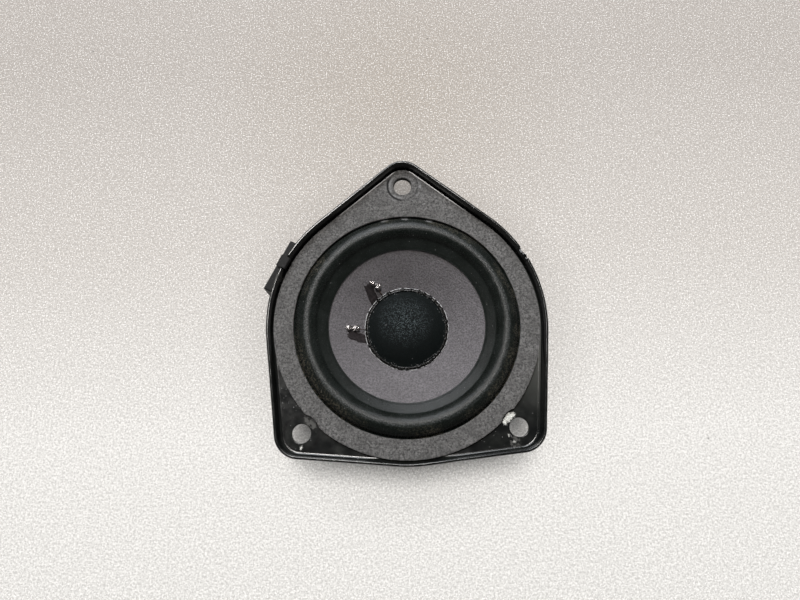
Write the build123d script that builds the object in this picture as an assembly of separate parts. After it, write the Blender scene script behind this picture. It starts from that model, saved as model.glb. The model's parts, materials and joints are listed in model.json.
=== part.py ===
"""Small vehicle loudspeaker driver with a three-cornered steel frame, in millimetres.

The origin is the centre of the magnet assembly's rear face. +Z points at the listener, and +Y at the
corner of the frame that carries a single mounting hole. The connector faces CONNECTOR_ANGLE.
"""

import math
import os

from build123d import *

# Heights above the rear face
YOKE_T = 4.0
MAGNET_T = 8.0
TOP_PLATE_T = 4.0
SHEET_T = 0.8
FLANGE_TOP = 34.0
GASKET_T = 1.0
LIP_TOP = 38.0
MAGNET_Z = YOKE_T
TOP_PLATE_Z = MAGNET_Z + MAGNET_T
FLOOR_Z = TOP_PLATE_Z + TOP_PLATE_T

# Magnet assembly
PLATE_R = 24.0
PLATE_CHAMFER = 0.4
MAGNET_R = 25.0
MAGNET_BORE_R = 13.0
MAGNET_CHAMFER = 0.8
POLE_R = 9.55
GAP_R = 10.85

# Mounting holes: one on +Y and two at the lower corners
HOLE_CIRCLE_R = 43.1
HOLE_R = 2.65
HOLE_ANGLES = (90.0, 225.0, 315.0)

# Frame: an outline drawn around the round rim and a circle about each hole, with its edge turned up
RIM_R = 40.05
CORNER_R = 6.7
LIP_FOOT_R = 0.5
LIP_BEND_R = 1.6
LIP_EDGE_R = 0.25
NOTCH_W = 3.9
NOTCH_DEPTH = 1.7
NOTCH_CORNER_R = 0.6
NOTCH_REACH = 3.0

# Frame: bowl under the flange
SEAT_DEPTH = 0.4
SEAT_R = 37.0
BOWL_R = 31.4
BOWL_KNEE_Z = 23.4
LEDGE_OUTER_R = 27.0
LEDGE_TOP = 19.8
STEP_R = 20.6
FLOOR_OUTER_R = 20.0
FLOOR_INNER_R = 13.5
PRESS_BEND_R = 0.9

# Frame: legs left between the windows, as an angle and a half width in degrees
WINDOW_TOP = 31.2
WINDOW_INNER_R = 25.5
WINDOW_CORNER_R = 2.0
CONNECTOR_ANGLE = 152.0
CONNECTOR_LEG_HALF = 24.0
PLAIN_LEG_HALF = 8.0
LEGS = (
    (CONNECTOR_ANGLE, CONNECTOR_LEG_HALF),
    (CONNECTOR_ANGLE + 90.0, PLAIN_LEG_HALF),
    (CONNECTOR_ANGLE + 180.0, PLAIN_LEG_HALF),
    (CONNECTOR_ANGLE + 270.0, PLAIN_LEG_HALF),
)

# Stakes that hold the frame's floor to the top plate
STAKE_CIRCLE_R = 16.9
STAKE_OFFSET = 45.0
STAKE_SHANK_R = 1.45
STAKE_HOLE_R = 1.5
STAKE_HEAD_R = 2.2
STAKE_HEAD_T = 0.7
STAKE_DEPTH = 2.0
HEAD_ROUNDING = 0.7

# Front gasket
GASKET_INNER_R = 33.0
GASKET_OUTER_R = 38.75
GASKET_EAR_R = 5.4
GASKET_HOLE_R = 2.9
GASKET_IMPRINT_R = 4.9
GASKET_IMPRINT_DEPTH = 0.25
GASKET_NOTCH_R = 5.2

# Rubber half roll between frame and cone
RUBBER_T = 0.4
ROLL_CENTRE_R = 28.6
ROLL_HALF_W = 4.4
ROLL_HEIGHT = 3.6
SURROUND_OUTER_R = 36.9
SURROUND_INNER_R = 22.85

# Cone: its front face is a straight slope from the neck to a flat rim
CONE_T = 0.4
CONE_RIM_R = 24.2
CONE_EDGE_R = 22.95
CONE_EDGE_Z = FLANGE_TOP - SEAT_DEPTH
CONE_REF_R = 12.6
CONE_REF_Z = 26.8
CONE_NECK_R = 10.15
CONE_SLOPE = (CONE_EDGE_Z - CONE_REF_Z) / (CONE_EDGE_R - CONE_REF_R)
CONE_DROP = CONE_T * math.sqrt(1 + CONE_SLOPE**2)

# Dust cap and the glue ring around it
CAP_R = 11.75
CAP_T = 0.45
CAP_HEIGHT = 3.6
CAP_RIM_Z = 26.75
BEAD_OUTER_R = 12.6
BEAD_TOP_RISE = 0.55

# Voice coil
FORMER_INNER_R = 9.9
FORMER_OUTER_R = 10.05
FORMER_BOTTOM = 9.6
FORMER_TOP = 26.2
WINDING_OUTER_R = 10.5
WINDING_BOTTOM = 10.0
WINDING_TOP = 18.0

# Spider: a corrugated disc from the coil former to the frame's ledge
SPIDER_T = 0.3
SPIDER_INNER_R = 10.4
SPIDER_WAVES_FROM = 12.0
SPIDER_WAVES_TO = 20.0
SPIDER_WAVES = 4
SPIDER_WAVE_H = 0.65
SPIDER_OUTER_R = 24.0
SPIDER_MID_Z = LEDGE_TOP + SPIDER_T / 2

# Glue beads on the coil former and at the spider's edge
FORMER_BEAD_R = 11.5
FORMER_BEAD_H = 1.1
EDGE_BEAD_W = 0.9
EDGE_BEAD_H = 0.5

# Leads on the cone, either side of the connector's direction
LEAD_R = 16.3
LEAD_OFFSET = 27.5
LEAD_HOLE_R = 0.65
SOLDER_LENGTHS = {"upper": 3.9, "lower": 4.7}
SOLDER_R = 0.6
SOLDER_LIFT = 0.15
SOLDER_ROUNDING = 0.9
SOLDER_TURNS = {"upper": 27.5, "lower": 0.0}
WIRE_R = 0.14
PATCH_T = 0.12
PATCH_INNER_R = 12.75
PATCH_OUTER_R = 16.9
PATCH_ANGLES = (3.5, 13.5)

# Tinsel leads, in the connector's frame and mirrored for the other side: the bends between cone and tag
TINSEL_R = 0.45
TINSEL_BENDS = ((15.1, 7.6, 24.6), (20.1, 6.6, 23.3), (24.0, 4.2, 23.6))
TINSEL_BEND_RADII = [2.2, 2.0, 1.8]
TINSEL_CLEARANCE = 0.1

# Connector, in a frame with +X outward along CONNECTOR_ANGLE and +Y along the housing
HOUSING_OUTER = 44.2
HOUSING_HALF_L = 8.55
HOUSING_Z = (20.5, 29.5)
SOCKET_BACK = 34.3
SOCKET_HALF_L = 7.2
SOCKET_Z = (21.8, 28.2)
SOCKET_CORNER_R = 0.6
HOUSING_CORNER_R = 0.5
SADDLE_T = 1.4
SADDLE_HALF_ANGLE = 22.5
SADDLE_Z = (23.6, 28.0)
SPIGOT_HALF_L = 5.2
SPIGOT_Z = (23.7, 27.3)
SPIGOT_INNER = 29.8
SLIDE_GAP = 0.05
LATCH_W = 3.5
LATCH_OUTER = 42.0
LATCH_TIP = 38.9
LATCH_ARM_T = 1.1
LATCH_TOP = 37.6
LATCH_HOOK_Z = 36.5
KEY_HALF_W = 1.1
KEY_H = 0.8
KEY_OFFSET = 4.6
KEY_INNER = 37.3
PIN_OFFSET = 3.3
PIN_T = 0.64
PIN_W = 2.2
PIN_Z = 25.4
PIN_TIP = 38.4
PIN_TAIL = 27.2
PIN_TIP_CHAMFER = 0.25
TAG_HOLE_R = 0.5
RIVET_ANGLE = 19.0
RIVET_R = 1.0
RIVET_HOLE_R = 1.05
RIVET_HEAD_R = 1.6
RIVET_HEAD_T = 0.7

# Further out than any part of the driver
FAR = 60.0


def ring(outer_r, inner_r, bottom, top):
    """Flat ring between two heights."""
    face = Circle(outer_r) - Circle(inner_r)
    return Pos(0, 0, bottom) * extrude(face, top - bottom)


def turned(points, arc=360.0):
    """Solid turned about Z from a closed outline of (radius, height) points."""
    return revolve(Plane.XZ * make_face(Polyline(*points, close=True)), Axis.Z, arc)


def polar(radius, angle, z=0.0):
    """Location at a radius and an angle in degrees about Z."""
    return Pos(radius * math.cos(math.radians(angle)), radius * math.sin(math.radians(angle)), z)


def outline(inset):
    """Frame outline moved inward by inset: the hull of the rim circle and the corner circles."""
    circles = [Circle(RIM_R - inset)]
    circles += [polar(HOLE_CIRCLE_R, a) * Circle(CORNER_R - inset) for a in HOLE_ANGLES]
    return make_hull([edge for circle in circles for edge in circle.edges()])


def cone_z(radius):
    """Height of the cone's front face at a radius."""
    return CONE_REF_Z + CONE_SLOPE * (radius - CONE_REF_R)


def circles_at(shape, radius):
    """The shape's circular edges of one radius, lowest first."""
    arcs = shape.edges().filter_by(GeomType.CIRCLE)
    return arcs.filter_by(lambda edge: abs(edge.radius - radius) < SLIDE_GAP).sort_by(Axis.Z)


def pole_yoke():
    """Rear plate and centre pole in one turned piece."""
    plate = extrude(Circle(PLATE_R), YOKE_T)
    plate = chamfer(plate.edges().group_by(Axis.Z)[0], PLATE_CHAMFER)
    pole = Pos(0, 0, YOKE_T) * extrude(Circle(POLE_R), FLOOR_Z - YOKE_T)
    pole = chamfer(pole.edges().group_by(Axis.Z)[-1], PLATE_CHAMFER)
    return plate + pole


def magnet_ring():
    """Ring magnet between the rear plate and the top plate."""
    magnet = ring(MAGNET_R, MAGNET_BORE_R, MAGNET_Z, MAGNET_Z + MAGNET_T)
    return chamfer(circles_at(magnet, MAGNET_R), MAGNET_CHAMFER)


def stake_locations():
    """Places of the four stakes, midway between the legs."""
    return [polar(STAKE_CIRCLE_R, leg[0] + STAKE_OFFSET) for leg in LEGS]


def top_plate():
    """Front plate of the magnet gap, with blind holes for the stakes."""
    plate = ring(PLATE_R, GAP_R, TOP_PLATE_Z, FLOOR_Z)
    plate = chamfer(circles_at(plate, PLATE_R)[-1], PLATE_CHAMFER)
    hole = Pos(0, 0, FLOOR_Z - STAKE_DEPTH) * extrude(Circle(STAKE_HOLE_R), STAKE_DEPTH)
    for place in stake_locations():
        plate -= place * hole
    return plate


def frame_stakes():
    """Shank in the top plate, and a domed head on the frame's floor."""
    shank = Pos(0, 0, FLOOR_Z - STAKE_DEPTH) * extrude(Circle(STAKE_SHANK_R), STAKE_DEPTH + SHEET_T)
    head = Pos(0, 0, FLOOR_Z + SHEET_T) * extrude(Circle(STAKE_HEAD_R), STAKE_HEAD_T)
    head = fillet(head.edges().group_by(Axis.Z)[-1], STAKE_HEAD_T * HEAD_ROUNDING)
    return Compound(children=[place * (shank + head) for place in stake_locations()])


def bowl():
    """Pressed bowl: floor, spider ledge and upright wall, all one sheet thickness."""
    half = SHEET_T / 2
    path = FilletPolyline(
        (FLOOR_INNER_R, FLOOR_Z + half),
        (FLOOR_OUTER_R, FLOOR_Z + half),
        (STEP_R, LEDGE_TOP - half),
        (LEDGE_OUTER_R, LEDGE_TOP - half),
        (BOWL_R, BOWL_KNEE_Z),
        (BOWL_R, FLANGE_TOP - SEAT_DEPTH - half),
        radius=PRESS_BEND_R,
    )
    return revolve(Plane.XZ * trace(path, line_width=SHEET_T), Axis.Z)


def window(start, end):
    """Wedge that opens the wall and the ledge's outer corner between two angles."""
    profile = Pos((WINDOW_INNER_R + FAR) / 2, (WINDOW_TOP + FLOOR_Z) / 2) * Rectangle(
        FAR - WINDOW_INNER_R, WINDOW_TOP - FLOOR_Z
    )
    wedge = revolve(Plane.XZ * profile, Axis.Z, end - start)
    depth = FAR - WINDOW_INNER_R - SLIDE_GAP
    radial = wedge.edges().filter_by(GeomType.LINE).filter_by(lambda edge: edge.length > depth)
    return Rot(0, 0, start) * fillet(radial, WINDOW_CORNER_R)


def in_connector_frame(shape):
    """The shape turned from the connector's frame into the driver's."""
    return Rot(0, 0, CONNECTOR_ANGLE) * shape


def block(x_range, half_y, z_range):
    """Box between two X values and two heights, centred on Y."""
    size = (x_range[1] - x_range[0], 2 * half_y, z_range[1] - z_range[0])
    centre = (sum(x_range) / 2, 0, sum(z_range) / 2)
    return Pos(*centre) * Box(*size)


def rivet_axes():
    """Frames whose +Z runs outward through the connector leg at the two rivets."""
    mid_z = sum(SADDLE_Z) / 2
    return [
        Rot(0, 0, CONNECTOR_ANGLE + side * RIVET_ANGLE) * Pos(0, 0, mid_z) * Rot(0, 90, 0)
        for side in (-1, 1)
    ]


def lip_tray():
    """Flange plate with its edge turned up all round."""
    bottom = FLANGE_TOP - SHEET_T
    tray = Pos(0, 0, bottom) * extrude(outline(0.0), LIP_TOP - bottom)
    tray = fillet(tray.edges().group_by(Axis.Z)[0], LIP_BEND_R)
    well = Pos(0, 0, FLANGE_TOP) * extrude(outline(SHEET_T), LIP_TOP - FLANGE_TOP)
    well = fillet(well.edges().group_by(Axis.Z)[0], LIP_FOOT_R)
    tray -= well
    return fillet(tray.edges().group_by(Axis.Z)[-1], LIP_EDGE_R)


def basket_frame():
    """Pressed steel frame: flange, bowl on four legs, holes, and the lip's notch for the latch."""
    frame = lip_tray()
    seat_top = FLANGE_TOP - SEAT_DEPTH
    inner_r = BOWL_R - SHEET_T / 2
    frame -= Pos(0, 0, FLOOR_Z) * extrude(Circle(inner_r + SHEET_T / 2), LIP_TOP)
    frame -= Pos(0, 0, seat_top) * extrude(Circle(SEAT_R), LIP_TOP)
    frame += ring(SEAT_R + SEAT_DEPTH, inner_r + SHEET_T / 2, seat_top - SHEET_T, seat_top)
    pressed = bowl()
    ends = [angle + half for angle, half in LEGS]
    starts = [angle - half for angle, half in LEGS[1:]] + [LEGS[0][0] - LEGS[0][1] + 360.0]
    for start, end in zip(ends, starts):
        pressed -= window(start, end)
    frame += pressed
    for angle in HOLE_ANGLES:
        frame -= polar(HOLE_CIRCLE_R, angle, FLOOR_Z) * extrude(Circle(HOLE_R), LIP_TOP)
    for place in stake_locations():
        frame -= place * Pos(0, 0, FLOOR_Z) * extrude(Circle(STAKE_HOLE_R), SHEET_T)
    aperture = block((SPIGOT_INNER, BOWL_R + SHEET_T), SPIGOT_HALF_L + SLIDE_GAP, SPIGOT_Z)
    frame -= in_connector_frame(aperture)
    reach = (RIM_R - NOTCH_REACH, RIM_R + NOTCH_REACH)
    notch = block(reach, NOTCH_W / 2, (LIP_TOP - NOTCH_DEPTH, LIP_TOP + NOTCH_REACH))
    lower = notch.edges().filter_by(Axis.X).group_by(Axis.Z)[0]
    frame -= in_connector_frame(fillet(lower, NOTCH_CORNER_R))
    for axis in rivet_axes():
        frame -= axis * extrude(Circle(RIVET_HOLE_R), FAR)
    return frame


def front_gasket():
    """Fibre ring with an ear over the upper corner, pressed in by one screw and cut back round two."""
    top = polar(HOLE_CIRCLE_R, HOLE_ANGLES[0])
    face = make_hull(Circle(GASKET_OUTER_R).edges() + (top * Circle(GASKET_EAR_R)).edges())
    face -= Circle(GASKET_INNER_R)
    face -= top * Circle(GASKET_HOLE_R)
    for angle in HOLE_ANGLES[1:]:
        face -= polar(HOLE_CIRCLE_R, angle) * Circle(GASKET_NOTCH_R)
    imprint = extrude(Circle(GASKET_IMPRINT_R) & top.inverse() * face, GASKET_IMPRINT_DEPTH)
    gasket = Pos(0, 0, FLANGE_TOP) * extrude(face, GASKET_T)
    return gasket - Pos(0, 0, FLANGE_TOP + GASKET_T - GASKET_IMPRINT_DEPTH) * top * imprint


def surround():
    """Half roll between a flat outer lap in the frame's seat and a flat inner lap on the cone's rim."""
    base = FLANGE_TOP - SEAT_DEPTH
    drop = (ROLL_HALF_W**2 - ROLL_HEIGHT**2) / (2 * ROLL_HEIGHT)
    radius = ROLL_HEIGHT + drop
    centre = Pos(ROLL_CENTRE_R, base - drop)
    roll = centre * Circle(radius) - centre * Circle(radius - RUBBER_T)
    roll &= Pos(ROLL_CENTRE_R, base + ROLL_HEIGHT / 2) * Rectangle(4 * ROLL_HALF_W, ROLL_HEIGHT)
    foot_inner = ROLL_CENTRE_R - ROLL_HALF_W
    foot_outer = ROLL_CENTRE_R + ROLL_HALF_W
    laps = ((SURROUND_INNER_R, foot_inner + RUBBER_T), (foot_outer - RUBBER_T, SURROUND_OUTER_R))
    for inner, outer in laps:
        roll += Pos((inner + outer) / 2, base + RUBBER_T / 2) * Rectangle(outer - inner, RUBBER_T)
    return revolve(Plane.XZ * roll, Axis.Z)


def cone():
    """Sloping wall with a flat rim, pierced for the two leads."""
    body = turned(
        [
            (CONE_NECK_R, cone_z(CONE_NECK_R)),
            (CONE_EDGE_R, CONE_EDGE_Z),
            (CONE_RIM_R, CONE_EDGE_Z),
            (CONE_RIM_R, CONE_EDGE_Z - CONE_T),
            (CONE_EDGE_R, CONE_EDGE_Z - CONE_T),
            (CONE_EDGE_R, CONE_EDGE_Z - CONE_DROP),
            (CONE_NECK_R, cone_z(CONE_NECK_R) - CONE_DROP),
        ]
    )
    for side in (-1, 1):
        body -= polar(LEAD_R, CONNECTOR_ANGLE + side * LEAD_OFFSET, FLOOR_Z) * extrude(
            Circle(LEAD_HOLE_R), LIP_TOP - FLOOR_Z
        )
    return body


def dust_cap():
    """Spherical dome of one thickness with a short upright rim."""
    sphere_r = (CAP_R**2 + CAP_HEIGHT**2) / (2 * CAP_HEIGHT)
    centre = Pos(0, CAP_RIM_Z + CAP_HEIGHT - sphere_r)
    shell = centre * Circle(sphere_r) - centre * Circle(sphere_r - CAP_T)
    shell &= Pos(CAP_R / 2, CAP_RIM_Z + CAP_HEIGHT / 2) * Rectangle(CAP_R, CAP_HEIGHT)
    return revolve(Plane.XZ * shell, Axis.Z)


def dust_cap_bead():
    """Ring of glue under the cap's rim, with a fillet showing outside it."""
    inner_r = CAP_R - CAP_T
    return turned(
        [
            (inner_r - CAP_T, cone_z(inner_r - CAP_T) + SLIDE_GAP),
            (inner_r - CAP_T, CAP_RIM_Z - SLIDE_GAP),
            (CAP_R + SLIDE_GAP, CAP_RIM_Z - SLIDE_GAP),
            (CAP_R + SLIDE_GAP, CAP_RIM_Z + BEAD_TOP_RISE),
            (BEAD_OUTER_R, cone_z(BEAD_OUTER_R) + SLIDE_GAP),
        ]
    )


def voice_coil_former():
    """Thin tube that carries the winding and is glued into the cone's neck."""
    return ring(FORMER_OUTER_R, FORMER_INNER_R, FORMER_BOTTOM, FORMER_TOP)


def voice_coil_winding():
    """Winding on the former, taller than the magnet gap."""
    return ring(WINDING_OUTER_R, FORMER_OUTER_R, WINDING_BOTTOM, WINDING_TOP)


def neck_bead():
    """Glue under the cone where it meets the coil former."""
    underside = cone_z(CONE_NECK_R) - CONE_DROP - SLIDE_GAP
    outer_z = cone_z(FORMER_BEAD_R) - CONE_DROP - SLIDE_GAP
    return turned(
        [
            (CONE_NECK_R, underside),
            (CONE_NECK_R, underside - FORMER_BEAD_H),
            (FORMER_BEAD_R, outer_z),
        ]
    )


def spider():
    """Flat inner and outer laps joined by concentric round waves."""
    wave = (SPIDER_WAVES_TO - SPIDER_WAVES_FROM) / SPIDER_WAVES
    path = Line((SPIDER_INNER_R, SPIDER_MID_Z), (SPIDER_WAVES_FROM, SPIDER_MID_Z)).edges()
    for i in range(2 * SPIDER_WAVES):
        start = SPIDER_WAVES_FROM + i * wave / 2
        crest = SPIDER_WAVE_H if i % 2 == 0 else -SPIDER_WAVE_H
        path += ThreePointArc(
            (start, SPIDER_MID_Z),
            (start + wave / 4, SPIDER_MID_Z + crest),
            (start + wave / 2, SPIDER_MID_Z),
        ).edges()
    path += Line((SPIDER_WAVES_TO, SPIDER_MID_Z), (SPIDER_OUTER_R, SPIDER_MID_Z)).edges()
    return revolve(Plane.XZ * trace(path, line_width=SPIDER_T), Axis.Z)


def spider_collar_bead():
    """Glue on top of the spider's inner lap, against the coil former."""
    seat = LEDGE_TOP + SPIDER_T
    return turned(
        [(CONE_NECK_R, seat), (FORMER_BEAD_R, seat), (CONE_NECK_R, seat + FORMER_BEAD_H)]
    )


def spider_edge_bead():
    """Glue on the ledge round the spider's rim."""
    return turned(
        [
            (SPIDER_OUTER_R, LEDGE_TOP),
            (SPIDER_OUTER_R + EDGE_BEAD_W, LEDGE_TOP),
            (SPIDER_OUTER_R, LEDGE_TOP + EDGE_BEAD_H),
        ]
    )


def along_cone(radius, angle, turn):
    """Point on the cone's front face, and the unit direction there whose plan angle is angle + turn."""
    heading = math.radians(angle + turn)
    rise = CONE_SLOPE * math.cos(math.radians(turn))
    place = polar(radius, angle, cone_z(radius)).position
    return place, Vector(math.cos(heading), math.sin(heading), rise).normalized()


def cone_normal(angle):
    """Direction square to the cone's front face at an angle."""
    a = math.radians(angle)
    return Vector(-CONE_SLOPE * math.cos(a), -CONE_SLOPE * math.sin(a), 1).normalized()


def solder_joint(angle, turn, length):
    """Lump of solder lying on the cone over the end of a tinsel lead."""
    place, heading = along_cone(LEAD_R, angle, turn)
    lift = SOLDER_R + SOLDER_LIFT
    start = place + cone_normal(angle) * lift - heading * (length / 2)
    lump = extrude(Plane(start, z_dir=heading) * Circle(SOLDER_R), length)
    return fillet(lump.edges().filter_by(GeomType.CIRCLE), SOLDER_R * SOLDER_ROUNDING)


def leadout_wire(angle, turn, length):
    """Fine coil wire from the solder to the glue ring."""
    place, heading = along_cone(LEAD_R, angle, turn)
    lift = cone_normal(angle) * (SOLDER_R + SOLDER_LIFT)
    start = place + lift - heading * (length / 2 + SLIDE_GAP)
    end_r = BEAD_OUTER_R + 2 * WIRE_R
    end = polar(end_r, angle, cone_z(end_r) + 3 * WIRE_R).position
    return extrude(Plane(start, z_dir=end - start) * Circle(WIRE_R), (end - start).length)


def lacquer_patch(angle):
    """Thin film of lacquer on the cone beside a lead, from the glue ring outward."""
    inner_z = cone_z(PATCH_INNER_R) + SLIDE_GAP / 2
    outer_z = cone_z(PATCH_OUTER_R) + SLIDE_GAP / 2
    film = turned(
        [
            (PATCH_INNER_R, inner_z),
            (PATCH_OUTER_R, outer_z),
            (PATCH_OUTER_R, outer_z + PATCH_T),
            (PATCH_INNER_R, inner_z + PATCH_T),
        ],
        PATCH_ANGLES[1] - PATCH_ANGLES[0],
    )
    return Rot(0, 0, angle + PATCH_ANGLES[0]) * film


def tinsel_lead(side):
    """Limp lead from the solder joint, down under the cone and across to the terminal's tag."""
    start_x = LEAD_R * math.cos(math.radians(LEAD_OFFSET))
    start_y = LEAD_R * math.sin(math.radians(LEAD_OFFSET))
    tag = (PIN_TAIL - TINSEL_CLEARANCE, PIN_OFFSET, PIN_Z)
    points = [(start_x, start_y, cone_z(LEAD_R)), *TINSEL_BENDS, tag]
    points = [(x, side * y, z) for x, y, z in points]
    path = FilletPolyline(*points, radius=TINSEL_BEND_RADII)
    profile = Plane(path @ 0, z_dir=path % 0) * Circle(TINSEL_R)
    lead = sweep(profile, path=path)
    print("tinsel lead", side, "length", round(path.length, 2), "volume", round(lead.volume, 3))
    print("  section times length", round(math.pi * TINSEL_R**2 * path.length, 3))
    return in_connector_frame(lead)


def terminal_pin(side):
    """Flat pin: a blade in the socket, through the back wall, to a pierced tag inside the frame."""
    pin = block((PIN_TAIL, PIN_TIP), PIN_T / 2, (PIN_Z - PIN_W / 2, PIN_Z + PIN_W / 2))
    tip = pin.faces().sort_by(Axis.X)[-1].edges()
    pin = chamfer(tip, PIN_TIP_CHAMFER)
    pierce = Rot(90, 0, 0) * extrude(Circle(TAG_HOLE_R), PIN_W, both=True)
    pin -= Pos(PIN_TAIL + 2 * TAG_HOLE_R, 0, PIN_Z) * pierce
    return in_connector_frame(Pos(0, side * PIN_OFFSET, 0) * pin)


def connector_housing():
    """Moulded socket with a curved saddle on the leg and a latch that hooks over the frame's lip."""
    shell = block((LEDGE_OUTER_R, HOUSING_OUTER), HOUSING_HALF_L, HOUSING_Z)
    shell = fillet(shell.edges().filter_by(Axis.X), HOUSING_CORNER_R)
    saddle = ring(BOWL_R + SHEET_T / 2 + SADDLE_T, BOWL_R, *SADDLE_Z)
    wedge = revolve(
        Plane.XZ * (Pos(FAR / 2, LIP_TOP / 2) * Rectangle(FAR, LIP_TOP)), Axis.Z, 2 * SADDLE_HALF_ANGLE
    )
    shell += saddle & (Rot(0, 0, -SADDLE_HALF_ANGLE) * wedge)
    outer = BOWL_R + SHEET_T / 2 + SLIDE_GAP
    knee = LEDGE_OUTER_R + SHEET_T / 2
    shell -= turned(
        [
            (0, FLOOR_Z),
            (knee, FLOOR_Z),
            (knee, LEDGE_TOP - SHEET_T),
            (outer, BOWL_KNEE_Z - SHEET_T),
            (outer, LIP_TOP),
            (0, LIP_TOP),
        ]
    )
    shell += block((SPIGOT_INNER, SOCKET_BACK), SPIGOT_HALF_L, SPIGOT_Z)
    socket = block((SOCKET_BACK, FAR), SOCKET_HALF_L, SOCKET_Z)
    shell -= fillet(socket.edges().filter_by(Axis.X), SOCKET_CORNER_R)
    for side in (-1, 1):
        key = block((KEY_INNER, HOUSING_OUTER), KEY_HALF_W, (SOCKET_Z[1] - KEY_H, SOCKET_Z[1]))
        shell += Pos(0, side * KEY_OFFSET, 0) * key
        slot = block((PIN_TAIL, PIN_TIP), PIN_T / 2, (PIN_Z - PIN_W / 2, PIN_Z + PIN_W / 2))
        shell -= Pos(0, side * PIN_OFFSET, 0) * slot
    post_inner = RIM_R + SLIDE_GAP
    latch = block((post_inner, LATCH_OUTER), LATCH_W / 2, (HOUSING_Z[1] - HOUSING_CORNER_R, LATCH_TOP))
    latch += block((LATCH_TIP, LATCH_OUTER), LATCH_W / 2, (LATCH_HOOK_Z, LATCH_TOP))
    latch = fillet(latch.edges().filter_by(Axis.Y).sort_by(Axis.Z)[-2:], LATCH_ARM_T / 2)
    shell += latch
    shell = in_connector_frame(shell)
    for axis in rivet_axes():
        shell -= axis * extrude(Circle(RIVET_HOLE_R), FAR)
    return shell


def connector_rivets():
    """Two rivets through the leg and the saddle's ears."""
    inner = math.sqrt((BOWL_R - SHEET_T / 2) ** 2 - RIVET_HEAD_R**2) - SLIDE_GAP
    outer = BOWL_R + SHEET_T / 2 + SADDLE_T
    shank = Pos(0, 0, inner) * extrude(Circle(RIVET_R), outer - inner)
    head = extrude(Circle(RIVET_HEAD_R), RIVET_HEAD_T)
    head = fillet(head.edges().group_by(Axis.Z)[-1], RIVET_HEAD_T * HEAD_ROUNDING)
    rivet = shank + Pos(0, 0, outer) * head + Pos(0, 0, inner) * Rot(180, 0, 0) * head
    return Compound(children=[axis * rivet for axis in rivet_axes()])


def lead_parts():
    """The pieces of each lead: upper is clockwise of the connector's direction, lower is the other."""
    parts = {}
    for name, side in (("upper", -1), ("lower", 1)):
        angle = CONNECTOR_ANGLE + side * LEAD_OFFSET
        turn, length = SOLDER_TURNS[name], SOLDER_LENGTHS[name]
        parts["solder_joint_" + name] = solder_joint(angle, turn, length)
        parts["leadout_wire_" + name] = leadout_wire(angle, turn, length)
        parts["lacquer_patch_" + name] = lacquer_patch(angle)
        parts["tinsel_lead_" + name] = tinsel_lead(side)
        parts["terminal_pin_" + name] = terminal_pin(side)
    return parts


def all_parts():
    """Every node's shape by name."""
    makers = (
        pole_yoke,
        magnet_ring,
        top_plate,
        frame_stakes,
        basket_frame,
        front_gasket,
        surround,
        cone,
        dust_cap,
        dust_cap_bead,
        voice_coil_former,
        voice_coil_winding,
        neck_bead,
        spider,
        spider_collar_bead,
        spider_edge_bead,
        connector_housing,
        connector_rivets,
    )
    parts = {maker.__name__: maker() for maker in makers}
    return parts | lead_parts()


os.makedirs("parts", exist_ok=True)
for node, shape in all_parts().items():
    export_step(shape, os.path.join("parts", node + ".step"))
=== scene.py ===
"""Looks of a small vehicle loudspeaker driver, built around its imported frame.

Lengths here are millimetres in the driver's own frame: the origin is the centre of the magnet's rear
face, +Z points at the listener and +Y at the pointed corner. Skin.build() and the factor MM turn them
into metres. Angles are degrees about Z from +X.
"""

import json
import math

import bmesh
import bpy
import numpy as np
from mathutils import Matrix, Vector, geometry, noise


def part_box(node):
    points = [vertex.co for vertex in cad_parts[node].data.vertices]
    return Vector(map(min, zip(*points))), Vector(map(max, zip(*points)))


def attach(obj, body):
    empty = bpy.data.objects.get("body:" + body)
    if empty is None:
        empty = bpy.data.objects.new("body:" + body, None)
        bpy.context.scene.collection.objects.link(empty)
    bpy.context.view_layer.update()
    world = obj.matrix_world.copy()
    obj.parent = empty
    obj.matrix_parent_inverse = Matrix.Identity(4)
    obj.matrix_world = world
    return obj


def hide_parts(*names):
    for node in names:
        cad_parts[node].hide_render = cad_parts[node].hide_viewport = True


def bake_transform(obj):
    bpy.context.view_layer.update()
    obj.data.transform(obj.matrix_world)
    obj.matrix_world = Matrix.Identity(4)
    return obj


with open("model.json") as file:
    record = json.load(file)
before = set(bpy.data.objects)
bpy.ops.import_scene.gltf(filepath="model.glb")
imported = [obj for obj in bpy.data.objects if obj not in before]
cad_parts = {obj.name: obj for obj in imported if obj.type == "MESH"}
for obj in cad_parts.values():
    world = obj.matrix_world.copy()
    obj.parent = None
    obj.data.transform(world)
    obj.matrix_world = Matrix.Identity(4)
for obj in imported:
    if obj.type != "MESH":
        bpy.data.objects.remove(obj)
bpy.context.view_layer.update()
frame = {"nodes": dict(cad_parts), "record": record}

MM = 0.001


def rgb(red, green, blue):
    return (red, green, blue, 1.0)


def extent(node):
    """Lowest and highest corner of a CAD node, in millimetres."""
    low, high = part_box(node)
    return np.array(low) / MM, np.array(high) / MM


MOUNTS = {mount["name"]: mount for mount in frame["record"]["mounts"]}

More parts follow.
